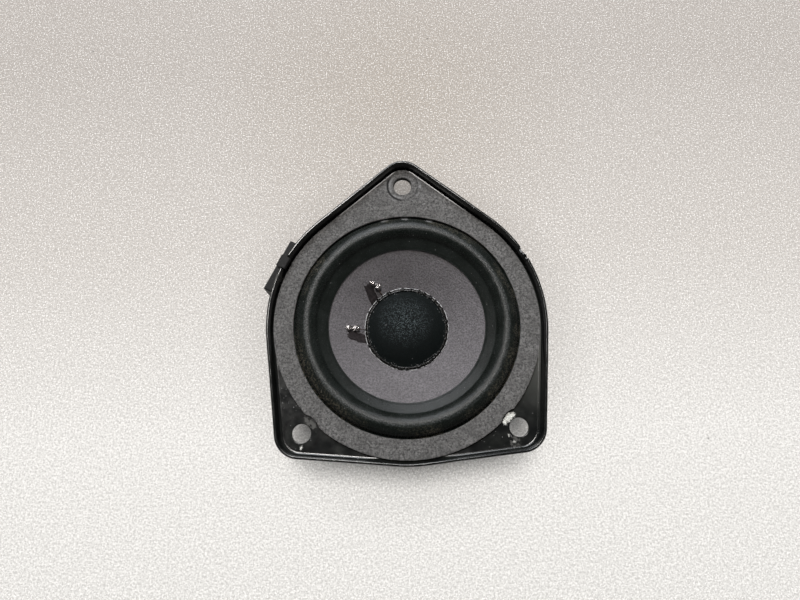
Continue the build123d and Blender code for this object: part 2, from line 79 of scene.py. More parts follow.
# Frame of the driver
RIM_R = extent("basket_frame")[1][0]
LIP_TOP = extent("basket_frame")[1][2]
FLANGE_TOP, GASKET_TOP = extent("front_gasket")[0][2], extent("front_gasket")[1][2]
SEAT_TOP = extent("surround")[0][2]
FLOOR_Z = extent("basket_frame")[0][2]
LEDGE_TOP = extent("spider_edge_bead")[0][2]
HOLE_CIRCLE_R = MOUNTS["upper_hole"]["pos_m"][1] / MM
HOLE_R = MOUNTS["upper_hole"]["dims"]["r_mm"]
HOLE_ANGLES = (90.0, 225.0, 315.0)
CORNER_R = 6.7
SHEET_T = 0.8
LIP_FOOT_R = 0.85
LIP_BEND_R = 1.6
LIP_EDGE_R = 0.28
LIP_LEAN = 0.3
SEAT_R = 37.0
BOWL_R = 31.4
BOWL_KNEE_Z = 23.4
LEDGE_OUTER_R = 27.0
STEP_R = 20.6
FLOOR_OUTER_R = 20.0
FLOOR_INNER_R = 13.5
PRESS_BEND_R = 0.9
WINDOW_TOP = 31.2
WINDOW_INNER_R = 25.5
WINDOW_CORNER_R = 2.0
CONNECTOR_ANGLE = 152.0
LEGS = ((152.0, 24.0), (242.0, 8.0), (332.0, 8.0), (422.0, 8.0))
NOTCH_W = 3.9
NOTCH_DEPTH = 1.7
CHIP_ANGLE = 29.0
CHIP_W = 4.9
CHIP_DEPTH = 1.1

# Gasket
GASKET_INNER_R = 33.0
GASKET_OUTER_R = extent("front_gasket")[1][0]
GASKET_EAR_R = extent("front_gasket")[1][1] - HOLE_CIRCLE_R
GASKET_HOLE_R = 2.9
IMPRINT_R = 4.9
IMPRINT_DEPTH = 0.25
GASKET_NOTCH_R = 5.2

# Surround and cone
ROLL_CENTRE_R = 29.1
ROLL_ARC_R = 3.4
ROLL_HEIGHT = extent("surround")[1][2] - SEAT_TOP
RUBBER_T = 0.4
SURROUND_OUTER_R = extent("surround")[1][0]
SURROUND_INNER_R = 22.85
INNER_LAP_SLOPE = 0.42
CONE_RIM_R = extent("cone")[1][0]
CONE_EDGE_R = 22.95
CONE_NECK_R = 10.15
CONE_T = 0.4
BEAD_OUTER_R = extent("dust_cap_bead")[1][0]
GLUE_EDGE_R = BEAD_OUTER_R + 0.45
CONE_REF_Z = 26.8
CONE_SLOPE = (SEAT_TOP - CONE_REF_Z) / (CONE_EDGE_R - BEAD_OUTER_R)
CAP_R = extent("dust_cap")[1][0]
CAP_Z = extent("dust_cap")[0][2]
CAP_HEIGHT = extent("dust_cap")[1][2] - CAP_Z
CAP_T = 0.45

# Spider
SPIDER_T = 0.3
SPIDER_MID_Z = LEDGE_TOP + SPIDER_T / 2
SPIDER_INNER_R = 10.4
SPIDER_OUTER_R = extent("spider")[1][0]
SPIDER_WAVES_FROM = 12.0
SPIDER_WAVES_TO = 20.0
SPIDER_WAVES = 4
SPIDER_WAVE_H = 0.5

# Leads on the cone
LEAD_R = 16.3
LEAD_OFFSET = 27.5
PIN_TAIL = 27.2
PIN_OFFSET = 3.3
PIN_Z = 25.4
TINSEL_BENDS = ((15.1, 7.6, 24.6), (20.1, 6.6, 23.3), (24.0, 4.2, 23.6))

# Places in plan (x, y, radius): rubbed grey, and chipped to bare metal
RUBBED_PLACES = (
    (-27.4, -26.9, 2.2),
    (0.0, 43.1, 5.4),
    (-37.0, 14.0, 1.5),
    (29.0, -34.5, 1.6),
)
CHIPPED_PLACES = (
    (28.9, -26.9, 0.65),
    (28.1, -27.3, 1.0),
    (27.2, -28.2, 1.0),
    (26.5, -29.0, 0.6),
    (27.4, -32.6, 0.3),
    (28.9, -34.3, 0.3),
    (-30.4, -34.4, 0.4),
)
SCUFFED_PLACES = ((-6.2, 31.8), (-5.5, 31.9), (0.0, 32.2), (0.7, 32.2), (7.4, 31.5), (8.1, 31.3))
# Painted reflection, with dust: the flat flange is painted lighter round this place in plan, out to this radius
SHEEN_WITH_DUST_PLACE = (39.5, -3.0)
SHEEN_WITH_DUST_R = 25.0

# Studio
FLOOR_REACH = 4.0
# Painted shade: floor colours by distance along Y, darker and warmer away from the viewer, for the light's falloff
FLOOR_FALLOFF_TONES = (
    (-95.0, rgb(0.73, 0.734, 0.722)),
    (-30.0, rgb(0.762, 0.762, 0.75)),
    (35.0, rgb(0.585, 0.562, 0.538)),
    (110.0, rgb(0.462, 0.434, 0.411)),
)
# Painted shadow: a dark warm patch on the far floor, its centre in plan and its radius
FLOOR_SHADOW = (0.0, 95.0)
FLOOR_SHADOW_R = 75.0
FLOOR_GLOW = 0.34
FLOOR_SHADES = ((-31.0, -25.0, 0.28), (31.0, -25.0, 0.1), (0.0, 52.0, 0.52))
FLOOR_SHADE_FROM = 36.0
FLOOR_SHADE_TO = 66.0
SKY_LOW = 0.5
SKY_HIGH = 0.05
CEILING_PLACE = Vector((-0.05, 0.1, 1.5))
CEILING_SIZE = 0.42
CEILING_POWER = 21.0
LAMP_PLACE = Vector((-0.1, 0.46, 1.42))
LAMP_SIZE = 0.3
LAMP_POWER = 17.0
WINDOW_PLACE = Vector((-0.15, 1.1, 1.1))
WINDOW_SIZE = 0.75
WINDOW_POWER = 23.0
WARM = (1.0, 0.965, 0.93)
COOL = (0.92, 0.95, 1.0)
CAMERA_PLACE = Vector((-3.13, -37.86, 212.2)) * MM
CAMERA_TARGET = Vector((-1.82, 6.96, 35.0)) * MM
CAMERA_LENS = 28.08

STATIONS = 480


# ---------------------------------------------------------------- points and meshes


def polar(radius, angle):
    """Point in plan at a radius and an angle in degrees."""
    return np.array((radius * math.cos(math.radians(angle)), radius * math.sin(math.radians(angle))))


def cone_z(radius):
    """Height of the cone's front face at a radius."""
    return CONE_REF_Z + CONE_SLOPE * (radius - BEAD_OUTER_R)


def smooth(value, low=0.0, high=1.0):
    """Smooth step from 0 at low to 1 at high."""
    t = np.clip((np.asarray(value, float) - low) / (high - low), 0, 1)
    return t * t * (3 - 2 * t)


def ripple(points, size, seed=0.0, octaves=3):
    """Random value at each point, about -1 to 1, with features of that size in millimetres."""
    places = np.asarray(points, float).reshape(-1, 3) / size + seed * 17.3
    values = [noise.fractal(Vector(p), 1.0, 2.0, octaves) for p in places]
    return np.array(values).reshape(np.shape(points)[:-1])


def rounded(corners, steps=6, closed=True):
    """Outline through (x, y, radius) corners, with an arc at each one that has a radius."""
    out = []
    count = len(corners)
    for i, (x, y, radius) in enumerate(corners):
        here = np.array((x, y), float)
        if radius == 0 or (not closed and i in (0, count - 1)):
            out.append(here)
            continue
        back = np.array(corners[i - 1][:2], float) - here
        ahead = np.array(corners[(i + 1) % count][:2], float) - here
        back /= np.linalg.norm(back)
        ahead /= np.linalg.norm(ahead)
        half = math.acos(float(np.clip(back @ ahead, -1, 1))) / 2
        middle = (back + ahead) / np.linalg.norm(back + ahead)
        centre = here + middle * radius / math.sin(half)
        first = here + back * radius / math.tan(half) - centre
        last = here + ahead * radius / math.tan(half) - centre
        start = math.atan2(first[1], first[0])
        turn = (math.atan2(last[1], last[0]) - start + math.pi) % (2 * math.pi) - math.pi
        for t in np.linspace(0, 1, steps):
            angle = start + turn * t
            out.append(centre + radius * np.array((math.cos(angle), math.sin(angle))))
    return np.array(out)


def refined(path, step, closed=True):
    """The path with points added so that no run is much longer than step."""
    path = np.asarray(path, float)
    ends = np.roll(path, -1, axis=0) if closed else path[1:]
    out = []
    for a, b in zip(path, ends):
        count = max(1, math.ceil(np.linalg.norm(b - a) / step))
        out += [a + (b - a) * i / count for i in range(count)]
    return np.array(out if closed else out + [path[-1]])


def revolved(profile, stations=STATIONS, start=0.0, end=360.0):
    """Grid of points, stations by profile: (radius, height) points turned about Z."""
    whole = end - start >= 360.0
    angles = np.radians(np.linspace(start, end, stations, endpoint=not whole))
    profile = np.asarray(profile, float)
    grid = np.empty((stations, len(profile), 3))
    grid[..., 0] = np.cos(angles)[:, None] * profile[:, 0]
    grid[..., 1] = np.sin(angles)[:, None] * profile[:, 0]
    grid[..., 2] = profile[:, 1]
    return grid


class Skin:
    """Points and faces gathered from patches, in millimetres, and welded where patches meet."""

    def __init__(self):
        self.points = []
        self.faces = []
        self.count = 0

    def add(self, points, faces):
        points = np.asarray(points, float).reshape(-1, 3)
        self.points.append(points)
        self.faces += [[i + self.count for i in face] for face in faces]
        self.count += len(points)

    def grid(self, grid, wrap_rows=False, wrap_columns=False):
        rows, columns = grid.shape[:2]
        index = np.arange(rows * columns).reshape(rows, columns)
        if wrap_rows:
            index = np.vstack([index, index[:1]])
        if wrap_columns:
            index = np.hstack([index, index[:, :1]])
        corners = (index[:-1, :-1], index[1:, :-1], index[1:, 1:], index[:-1, 1:])
        self.add(grid, np.stack(corners, axis=-1).reshape(-1, 4).tolist())

    def build(self, name, material):
        mesh = bpy.data.meshes.new(name)
        mesh.from_pydata((np.vstack(self.points) * MM).tolist(), [], self.faces)
        welded = bmesh.new()
        welded.from_mesh(mesh)
        bmesh.ops.remove_doubles(welded, verts=welded.verts, dist=0.001 * MM)
        bmesh.ops.recalc_face_normals(welded, faces=welded.faces)
        welded.to_mesh(mesh)
        welded.free()
        mesh.shade_smooth()
        mesh.materials.append(material)
        piece = bpy.data.objects.new(name, mesh)
        bpy.context.scene.collection.objects.link(piece)
        return piece


def turned_piece(name, profile, material, relief=None, stations=STATIONS):
    """Closed ring turned about Z. relief(points) gives each point's move along its own normal."""
    profile = np.asarray(profile, float)
    grid = revolved(profile, stations)
    if relief is not None:
        along = np.roll(profile, -1, axis=0) - np.roll(profile, 1, axis=0)
        along /= np.linalg.norm(along, axis=1, keepdims=True)
        area = np.sum(profile[:, 0] * np.roll(profile[:, 1], -1) - np.roll(profile[:, 0], -1) * profile[:, 1])
        side = 1.0 if area > 0 else -1.0
        normals = revolved(np.stack([along[:, 1], -along[:, 0]], axis=1) * side, stations)
        grid += normals * relief(grid)[..., None]
    skin = Skin()
    skin.grid(grid, wrap_rows=True, wrap_columns=True)
    return skin.build(name, material)


def finished(piece):
    """The piece with its modifiers applied."""
    graph = bpy.context.evaluated_depsgraph_get()
    mesh = bpy.data.meshes.new_from_object(piece.evaluated_get(graph))
    piece.modifiers.clear()
    piece.data = mesh
    return piece


def fit(piece, body, slot, *nodes):
    """The piece moves with a body and hides the CAD nodes it stands for. Its slot argument is not used."""
    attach(piece, body)
    if nodes:
        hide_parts(*nodes)
    return piece


def fit_flexing(piece, node):
    """The piece stands for a CAD ring node, which it hides, and has its placement baked into its points."""
    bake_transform(piece)
    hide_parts(node)


# ---------------------------------------------------------------- outlines in plan


def hull_outline(rim_r, corner_r, corner_angles, step):
    """Points round the hull of a rim circle and a circle about each corner, and the outward directions."""
    half = math.degrees(math.acos((rim_r - corner_r) / HOLE_CIRCLE_R))
    arcs = []
    for i, angle in enumerate(corner_angles):
        after = corner_angles[(i + 1) % len(corner_angles)]
        after += 360.0 * (after <= angle)
        arcs.append((polar(HOLE_CIRCLE_R, angle), corner_r, angle - half, angle + half))
        arcs.append((np.zeros(2), rim_r, angle + half, after - half))
    points, directions = [], []
    for i, (centre, radius, start, end) in enumerate(arcs):
        count = max(2, round(math.radians(end - start) * radius / step))
        angles = np.radians(np.linspace(start, end, count + 1))
        facing = np.stack([np.cos(angles), np.sin(angles)], axis=1)
        arc = centre + radius * facing
        next_centre, next_radius = arcs[(i + 1) % len(arcs)][:2]
        run = next_centre + next_radius * facing[-1] - arc[-1]
        pieces = max(1, round(np.linalg.norm(run) / step))
        straight = [arc[-1] + run * k / pieces for k in range(1, pieces)]
        points += [*arc, *straight]
        directions += [*facing, *([facing[-1]] * len(straight))]
    return np.array(points), np.array(directions)


def enclosed(plan, loops):
    """True for plan points inside the outer loop and outside the loops within it."""
    x, y = plan.T
    odd = np.zeros(len(plan), bool)
    for loop in loops:
        for (x0, y0), (x1, y1) in zip(loop, np.roll(loop, -1, axis=0)):
            if y0 != y1:
                crossing = x0 + (x1 - x0) * (y - y0) / (y1 - y0)
                odd ^= ((y0 > y) != (y1 > y)) & (x < crossing)
    return odd


def filled(loops, inside, spacing, seed=0):
    """Triangles between closed loops, with scattered points inside: returns plan points and faces."""
    points = [Vector(p) for loop in loops for p in loop]
    edges = []
    first = 0
    for loop in loops:
        count = len(loop)
        edges += [(first + i, first + (i + 1) % count) for i in range(count)]
        first += count
    if spacing:
        low, high = np.min(loops[0], axis=0), np.max(loops[0], axis=0)
        columns = np.arange(low[0], high[0], spacing)
        rows = np.arange(low[1], high[1], spacing * math.sqrt(0.75))
        x, y = np.meshgrid(columns, rows)
        x[1::2] += spacing / 2
        scatter = np.stack([x.ravel(), y.ravel()], axis=1)
        scatter += np.random.default_rng(seed).uniform(-0.2, 0.2, scatter.shape) * spacing
        points += [Vector(p) for p in scatter[inside(scatter, spacing * 0.6)]]
    found = geometry.delaunay_2d_cdt(points, edges, [], 0, 1e-5)
    plan = np.array([tuple(p) for p in found[0]])
    faces = np.array([tuple(face) for face in found[2]])
    across, along = plan[faces[:, 1]] - plan[faces[:, 0]], plan[faces[:, 2]] - plan[faces[:, 0]]
    areas = np.abs(across[:, 0] * along[:, 1] - across[:, 1] * along[:, 0])
    walls = {frozenset(edge) for edge, drawn in zip(found[1], found[4]) if drawn}
    sides = {}
    for i, face in enumerate(faces.tolist()):
        for edge in zip(face, face[1:] + face[:1]):
            sides.setdefault(frozenset(edge), []).append(i)
    front = [int(np.argmax(areas * enclosed(plan[faces].mean(axis=1), loops)))]
    reached = set(front)
    while front:
        face = faces[front.pop()].tolist()
        for edge in map(frozenset, zip(face, face[1:] + face[:1])):
            if edge not in walls:
                beyond = set(sides[edge]) - reached
                reached |= beyond
                front += beyond
    return plan, faces[sorted(reached)].tolist()


def clear_of_holes(plan, radius, angles=HOLE_ANGLES):
    """True for plan points further than radius from each mounting hole's centre."""
    clear = np.ones(len(plan), bool)
    for angle in angles:
        clear &= np.linalg.norm(plan - polar(HOLE_CIRCLE_R, angle), axis=1) > radius
    return clear


def circle(centre, radius, count):
    angles = np.linspace(0, 2 * math.pi, count, endpoint=False)
    return np.asarray(centre) + radius * np.stack([np.cos(angles), np.sin(angles)], axis=1)


def raised(plan, height):
    """Plan points at a height."""
    plan = np.asarray(plan, float)
    return np.column_stack([plan, np.broadcast_to(height, len(plan))])


# ---------------------------------------------------------------- materials


def grey(value, warmth=0.0):
    return rgb(value * (1 + warmth), value, value * (1 - warmth))


class Shader:
    """A material's nodes. Sizes in its patterns are millimetres on the object."""

    def __init__(self, name, **surface):
        self.material = bpy.data.materials.new(name)
        self.material.use_nodes = True
        self.tree = self.material.node_tree
        self.surface = self.tree.nodes["Principled BSDF"]
        coordinates = self.add("ShaderNodeTexCoord").outputs["Object"]
        self.place = self.scaled(coordinates, 1 / MM)
        for name, value in surface.items():
            self.surface.inputs[name.replace("_", " ")].default_value = value

    def add(self, kind, inputs=None, **settings):
        node = self.tree.nodes.new(kind)
        for key, value in settings.items():
            setattr(node, key, value)
        for socket, value in (inputs or {}).items():
            if isinstance(value, bpy.types.NodeSocket):
                self.tree.links.new(value, node.inputs[socket])
            else:
                node.inputs[socket].default_value = value
        return node

    def link(self, output, name):
        self.tree.links.new(output, self.surface.inputs[name])

    def scaled(self, vector, factor):
        node = self.add("ShaderNodeVectorMath", {0: vector, "Scale": factor}, operation="SCALE")
        return node.outputs[0]

    def stretched(self, x, y, z):
        """Place with each axis multiplied, for patterns that are longer one way."""
        return self.add("ShaderNodeVectorMath", {0: self.place, 1: (x, y, z)}, operation="MULTIPLY").outputs[0]

    def radius(self):
        """Distance from the driver's axis."""
        flat = self.stretched(1, 1, 0)
        return self.add("ShaderNodeVectorMath", {0: flat}, operation="LENGTH").outputs["Value"]

    def gap(self, x, y):
        """Distance in plan from a place."""
        flat = self.stretched(1, 1, 0)
        return self.add("ShaderNodeVectorMath", {0: flat, 1: (x, y, 0)}, operation="DISTANCE").outputs["Value"]

    def near(self, x, y, radius):
        """1 at a place in plan, falling to 0 at that radius, with a ragged edge."""
        ragged = self.math("MULTIPLY_ADD", self.noise(0.7, 5, 0.8), 2.4 + radius, self.gap(x, y))
        return self.spread(ragged, radius * 1.5 + 1.3, radius * 1.5 + 1.05)

    def band(self, value, middle, half):
        """1 where a value is at middle, falling to 0 at half either side."""
        off = self.math("ABSOLUTE", self.math("SUBTRACT", value, middle))
        return self.spread(off, half, half * 0.4)

    def height(self):
        return self.add("ShaderNodeSeparateXYZ", {0: self.place}).outputs[2]

    def math(self, operation, a, b=0.0, c=0.0):
        return self.add("ShaderNodeMath", {0: a, 1: b, 2: c}, operation=operation).outputs[0]

    def noise(self, size, detail=3.0, roughness=0.55, at=None):
        """Random value about 0.3 to 0.7 with features of that size."""
        inputs = {"Vector": self.place if at is None else at, "Scale": 1 / size}
        inputs |= {"Detail": detail, "Roughness": roughness}
        return self.add("ShaderNodeTexNoise", inputs).outputs[0]

    def specks(self, spacing, size, share):
        """1 inside small round specks: one in each cell of a share of the cells."""
        inputs = {"Vector": self.place, "Scale": 1 / spacing}
        cells = self.add("ShaderNodeTexVoronoi", inputs)
        dots = self.spread(cells.outputs["Distance"], size / spacing, 0.5 * size / spacing)
        pick = self.add("ShaderNodeSeparateColor", {0: cells.outputs["Color"]}).outputs[0]
        return self.math("MULTIPLY", dots, self.math("LESS_THAN", pick, share))

    def spread(self, value, low, high, out_low=0.0, out_high=1.0):
        """Value from low..high laid onto out_low..out_high, and held there beyond."""
        inputs = {"Value": value, "From Min": low, "From Max": high, "To Min": out_low, "To Max": out_high}
        return self.add("ShaderNodeMapRange", inputs).outputs[0]

    def mix(self, factor, a, b):
        return self.add("ShaderNodeMix", {0: factor, 6: a, 7: b}, data_type="RGBA").outputs[2]

    def bump(self, height, distance, under=None):
        """Relief of a height pattern, that many millimetres deep, over another relief."""
        inputs = {"Height": height, "Distance": distance * MM, "Strength": 1.0}
        if under is not None:
            inputs["Normal"] = under
        return self.add("ShaderNodeBump", inputs).outputs[0]

    def finish(self, colour=None, roughness=None, normal=None, metallic=None):
        for output, name in (
            (colour, "Base Color"),
            (roughness, "Roughness"),
            (normal, "Normal"),
            (metallic, "Metallic"),
        ):
            if output is not None:
                self.link(output, name)
        return self.material


def frame_paint():
    """Satin black coat over steel: dust, worn patches, and chips down to bare metal,
    with a painted reflection on the flange's right side and painted shade by the gasket's notch.
    """
    s = Shader("frame_paint", Specular_IOR_Level=0.32)
    dust = s.spread(s.noise(6.0, 5), 0.42, 0.66)
    grains = s.math("MAXIMUM", s.specks(0.7, 0.13, 0.3), s.specks(1.5, 0.2, 0.25))
    grains = s.math("MULTIPLY", grains, s.spread(s.noise(7.0, 3), 0.42, 0.58))
    flat = s.math("LESS_THAN", s.height(), FLANGE_TOP + 0.3)
    grains = s.math("MULTIPLY", grains, flat)
    black = s.mix(dust, rgb(0.0045, 0.005, 0.005), rgb(0.0095, 0.0105, 0.0095))
    # Painted reflection, with dust: the flat flange lighter towards its right side
    sheen_with_dust = s.math("MULTIPLY", s.spread(s.gap(*SHEEN_WITH_DUST_PLACE), SHEEN_WITH_DUST_R, 0.25 * SHEEN_WITH_DUST_R), flat)
    black = s.mix(sheen_with_dust, black, rgb(0.065, 0.066, 0.06))
    dust_and_sheen = s.mix(grains, black, grey(0.12))
    rubbed_and_highlit = None
    for x, y, radius in RUBBED_PLACES:
        place = s.math("MULTIPLY", s.near(x, y, radius), s.spread(s.noise(0.9, 4), 0.38, 0.6))
        rubbed_and_highlit = place if rubbed_and_highlit is None else s.math("MAXIMUM", rubbed_and_highlit, place)
    bare = None
    for x, y, radius in CHIPPED_PLACES:
        place = s.near(x, y, radius)
        bare = place if bare is None else s.math("MAXIMUM", bare, place)
    worn = s.mix(rubbed_and_highlit, dust_and_sheen, rgb(0.05, 0.049, 0.045))
    # Painted shade: a near-black arc on the flange just inside the gasket's notch at the lower left hole, where
    # the gasket's edge shades it
    notch = s.band(s.gap(*polar(HOLE_CIRCLE_R, HOLE_ANGLES[1])), GASKET_NOTCH_R - 0.3, 0.5)
    worn = s.mix(notch, worn, grey(0.004))
    metal = s.mix(s.spread(s.noise(0.4, 3, 0.7), 0.4, 0.6), rgb(0.34, 0.34, 0.31), rgb(0.72, 0.72, 0.68))
    colour = s.mix(bare, worn, metal)
    rough = s.spread(s.noise(3.0, 4), 0.35, 0.7, 0.15, 0.24)
    rough = s.math("MAXIMUM", rough, s.math("MULTIPLY", s.math("MAXIMUM", grains, rubbed_and_highlit), 0.7))
    orange_peel = s.bump(s.noise(1.6, 2), 0.008)
    pits = s.bump(s.math("MAXIMUM", bare, grains), 0.03, orange_peel)
    return s.finish(colour, rough, pits)


def gasket_fibre():
    """Grey compacted fibre: mottled, with loose fibres and a lighter scraped band inside the screw head's print;
    the print is edged by a broken ring of painted shade and a band of painted highlight, and the ear's straight
    edges carry a painted highlight.
    """
    s = Shader("gasket_fibre", Roughness=0.92, Sheen_Weight=0.1, Specular_IOR_Level=0.25)
    mottle = s.spread(s.noise(0.6, 3, 0.75), 0.41, 0.59)
    fine = s.noise(0.28, 3, 0.7)
    streaks = s.noise(0.35, 3, 0.6, s.stretched(0.22, 1.0, 1.0))
    crossed = s.noise(0.35, 3, 0.6, s.stretched(1.0, 0.2, 1.0))
    base = s.mix(mottle, grey(0.02, 0.02), grey(0.15, 0.025))
    shade = s.spread(s.math("ADD", s.math("MULTIPLY", streaks, crossed), s.math("MULTIPLY", fine, 0.2)), 0.22, 0.5)
    base = s.mix(s.math("MULTIPLY", shade, 0.55), base, grey(0.17, 0.02))
    broad = s.spread(s.noise(5.0, 4, 0.65), 0.4, 0.62)
    base = s.mix(s.math("MULTIPLY", broad, 0.45), base, grey(0.055, 0.03))
    base = s.mix(s.specks(0.8, 0.14, 0.3), base, grey(0.26))
    base = s.mix(s.specks(0.9, 0.18, 0.35), base, grey(0.022))
    from_hole = s.gap(0.0, HOLE_CIRCLE_R)
    broken = s.spread(s.noise(1.4, 3), 0.4, 0.55)
    left_of_hole = s.spread(s.gap(-5.0, 40.5), 6.5, 4.5)
    # Painted shade: a dark broken ring along the edge of the screw head's print, unbroken to the left of the hole
    ring = s.math("MAXIMUM", s.math("MULTIPLY", broken, 0.6), left_of_hole)
    base = s.mix(s.math("MULTIPLY", s.band(from_hole, IMPRINT_R - 0.25, 0.45), ring), base, grey(0.012))
    scraped = s.math("MULTIPLY", s.band(from_hole, IMPRINT_R - 0.95, 0.4), left_of_hole)
    base = s.mix(s.math("MULTIPLY", scraped, broken), base, grey(0.2))
    # Painted highlight: a lighter broken band just outside the print's edge
    pale = s.spread(s.noise(2.2, 3), 0.5, 0.62)
    base = s.mix(s.math("MULTIPLY", s.band(from_hole, IMPRINT_R + 0.45, 0.55), pale), base, grey(0.2))
    # Painted highlight: a light line along both straight edges of the ear, stronger on the right one
    ear_side = math.degrees(math.acos((GASKET_OUTER_R - GASKET_EAR_R) / HOLE_CIRCLE_R))
    for turn, strength in ((-ear_side, 0.95), (ear_side, 0.6)):
        facing = (*polar(1.0, HOLE_ANGLES[0] + turn), 0.0)
        out = s.add("ShaderNodeVectorMath", {0: s.place, 1: facing}, operation="DOT_PRODUCT").outputs["Value"]
        rubbed_and_highlit = s.math("MULTIPLY", s.band(out, GASKET_OUTER_R - 0.22, 0.22), s.spread(from_hole, 22.0, 14.0))
        base = s.mix(s.math("MULTIPLY", rubbed_and_highlit, strength), base, grey(0.75))
    relief = s.bump(s.math("ADD", s.math("MULTIPLY", mottle, 0.8), fine), 0.11)
    relief = s.bump(s.math("MULTIPLY", streaks, crossed), 0.18, relief)
    return s.finish(base, None, relief)


def surround_rubber():
    """Matt black rubber with a fine grain, dust and a painted highlight along the crest, and a dirty outer foot.
    """
    s = Shader("surround_rubber", Specular_IOR_Level=0.155)
    radius = s.radius()
    film = s.spread(s.noise(5.0, 5), 0.35, 0.65)
    base = s.mix(film, rgb(0.0045, 0.006, 0.005), rgb(0.0085, 0.0105, 0.0095))
    outside = ROLL_CENTRE_R + ROLL_ARC_R
    foot = s.spread(radius, outside - 3.2, outside - 1.2)
    dirt = s.math("MULTIPLY", foot, s.spread(s.noise(0.7, 4, 0.7), 0.48, 0.6))
    patchy = s.math("MAXIMUM", s.spread(s.noise(11.0, 2), 0.45, 0.6), s.spread(s.gap(-26.0, -17.0), 19.0, 8.0))
    base = s.mix(s.math("MULTIPLY", dirt, patchy), base, rgb(0.055, 0.05, 0.038))
    glitter = s.math("MAXIMUM", s.specks(0.5, 0.14, 0.4), s.specks(0.75, 0.17, 0.3))
    base = s.mix(s.math("MULTIPLY", glitter, 0.6), base, rgb(0.035, 0.038, 0.038))
    base = s.mix(s.specks(1.3, 0.15, 0.15), base, grey(0.13))
    # Dust and painted highlight: a lighter speckled band along the crest
    dust_and_sheen = s.math("MULTIPLY", s.band(radius, ROLL_CENTRE_R, 0.9), s.spread(s.noise(0.4, 3, 0.7), 0.48, 0.62))
    base = s.mix(dust_and_sheen, base, rgb(0.05, 0.055, 0.055))
    for x, y in SCUFFED_PLACES:
        base = s.mix(s.near(x, y, 0.8), base, grey(0.13))
    rough = s.spread(s.noise(0.35, 4, 0.75), 0.3, 0.7, 0.18, 0.34)
    groove = ROLL_CENTRE_R - ROLL_ARC_R
    rough = s.math("MULTIPLY", rough, s.spread(radius, groove, groove + 1.0, 1.25, 1.0))
    grain = s.bump(s.noise(0.4, 3, 0.8), 0.075)
    return s.finish(base, rough, s.bump(s.noise(1.7, 3), 0.05, grain))


def cone_paper():
    """Grey felted pulp with loose fibres and a faint brush pattern round the cone."""
    s = Shader("cone_paper", Roughness=0.9, Specular_IOR_Level=0.3, Sheen_Weight=0.1)
    pulp = s.spread(s.noise(0.5, 3, 0.7), 0.4, 0.6)
    clouds = s.spread(s.noise(5.0, 4), 0.38, 0.62)
    base = s.mix(pulp, rgb(0.08, 0.074, 0.079), rgb(0.158, 0.149, 0.156))
    base = s.mix(s.math("MULTIPLY", clouds, 0.35), base, rgb(0.085, 0.08, 0.082))
    base = s.mix(s.specks(0.9, 0.13, 0.3), base, grey(0.25))
    base = s.mix(s.specks(0.8, 0.14, 0.3), base, grey(0.04))
    fibres = s.noise(0.3, 3, 0.6, s.stretched(0.3, 1, 1))
    relief = s.bump(pulp, 0.09)
    return s.finish(base, None, s.bump(fibres, 0.07, relief))


def cap_felt():
    """Black felt with a fine nap, and light specks of fluff gathered in its middle as a painted highlight."""
    s = Shader("cap_felt", Roughness=0.6, Specular_IOR_Level=0.1)
    nap = s.noise(0.25, 4, 0.75)
    base = s.mix(s.spread(nap, 0.35, 0.7), rgb(0.001, 0.002, 0.002), rgb(0.004, 0.0065, 0.0065))
    # Painted highlight: light specks of fluff gathered in the lit middle, a little up and left of the axis, so the
    # lower part stays darker
    middle = s.spread(s.gap(-0.6, 2.2), 9.0, 1.0)
    lint_and_highlight = s.math("MAXIMUM", s.specks(0.23, 0.1, 0.7), s.specks(0.36, 0.12, 0.4))
    lint_and_highlight = s.math("MULTIPLY", lint_and_highlight, s.math("MULTIPLY", middle, s.spread(s.noise(0.9, 3), 0.36, 0.52)))
    base = s.mix(lint_and_highlight, base, rgb(0.15, 0.185, 0.195))
    radius = s.radius()
    ring = s.math("MULTIPLY", s.band(radius, CAP_R - 0.35, 0.45), s.specks(0.5, 0.16, 0.55))
    crumbs = s.math("MULTIPLY", s.specks(1.3, 0.2, 0.35), s.spread(s.noise(3.0, 3), 0.5, 0.58))
    base = s.mix(s.math("MAXIMUM", crumbs, ring), base, grey(0.2))
    relief = s.bump(nap, 0.2)
    return s.finish(base, None, s.bump(lint_and_highlight, 0.05, relief))


def black_glue():
    """Glossy black glue with white crumbs in it and a painted highlight along its outer edge."""
    s = Shader("black_glue", Specular_IOR_Level=0.18)
    radius = s.radius()
    base = s.mix(s.spread(s.noise(1.3, 4), 0.35, 0.65), rgb(0.002, 0.002, 0.002), rgb(0.008, 0.008, 0.007))
    crumbs = s.math("MULTIPLY", s.specks(0.5, 0.12, 0.4), s.spread(s.noise(1.6, 3), 0.42, 0.55))
    base = s.mix(crumbs, base, grey(0.4))
    # Painted highlight: a lighter broken line at the glue's thin outer edge, where it meets the paper
    paper = s.math("MULTIPLY_ADD", radius, CONE_SLOPE, cone_z(0.0))
    edge = s.spread(s.math("SUBTRACT", s.height(), paper), 0.18, 0.15)
    base = s.mix(s.math("MULTIPLY", edge, s.spread(s.noise(1.5, 4), 0.36, 0.48)), base, grey(0.5))
    rough = s.spread(s.noise(0.6, 4), 0.35, 0.65, 0.14, 0.34)
    return s.finish(base, rough, s.bump(s.noise(0.5, 3), 0.1))


def glue(name, dark, light, rough_low, rough_high):
    """Cured adhesive: uneven, glossy, with a few bubbles and dust."""
    s = Shader(name, IOR=1.5, Coat_Weight=0.5, Coat_Roughness=0.08)
    base = s.mix(s.spread(s.noise(1.3, 4), 0.35, 0.65), dark, light)
    base = s.mix(s.specks(0.5, 0.09, 0.3), base, grey(0.3))
    rough = s.spread(s.noise(0.6, 4), 0.35, 0.65, rough_low, rough_high)
    return s.finish(base, rough, s.bump(s.noise(0.5, 3), 0.12))


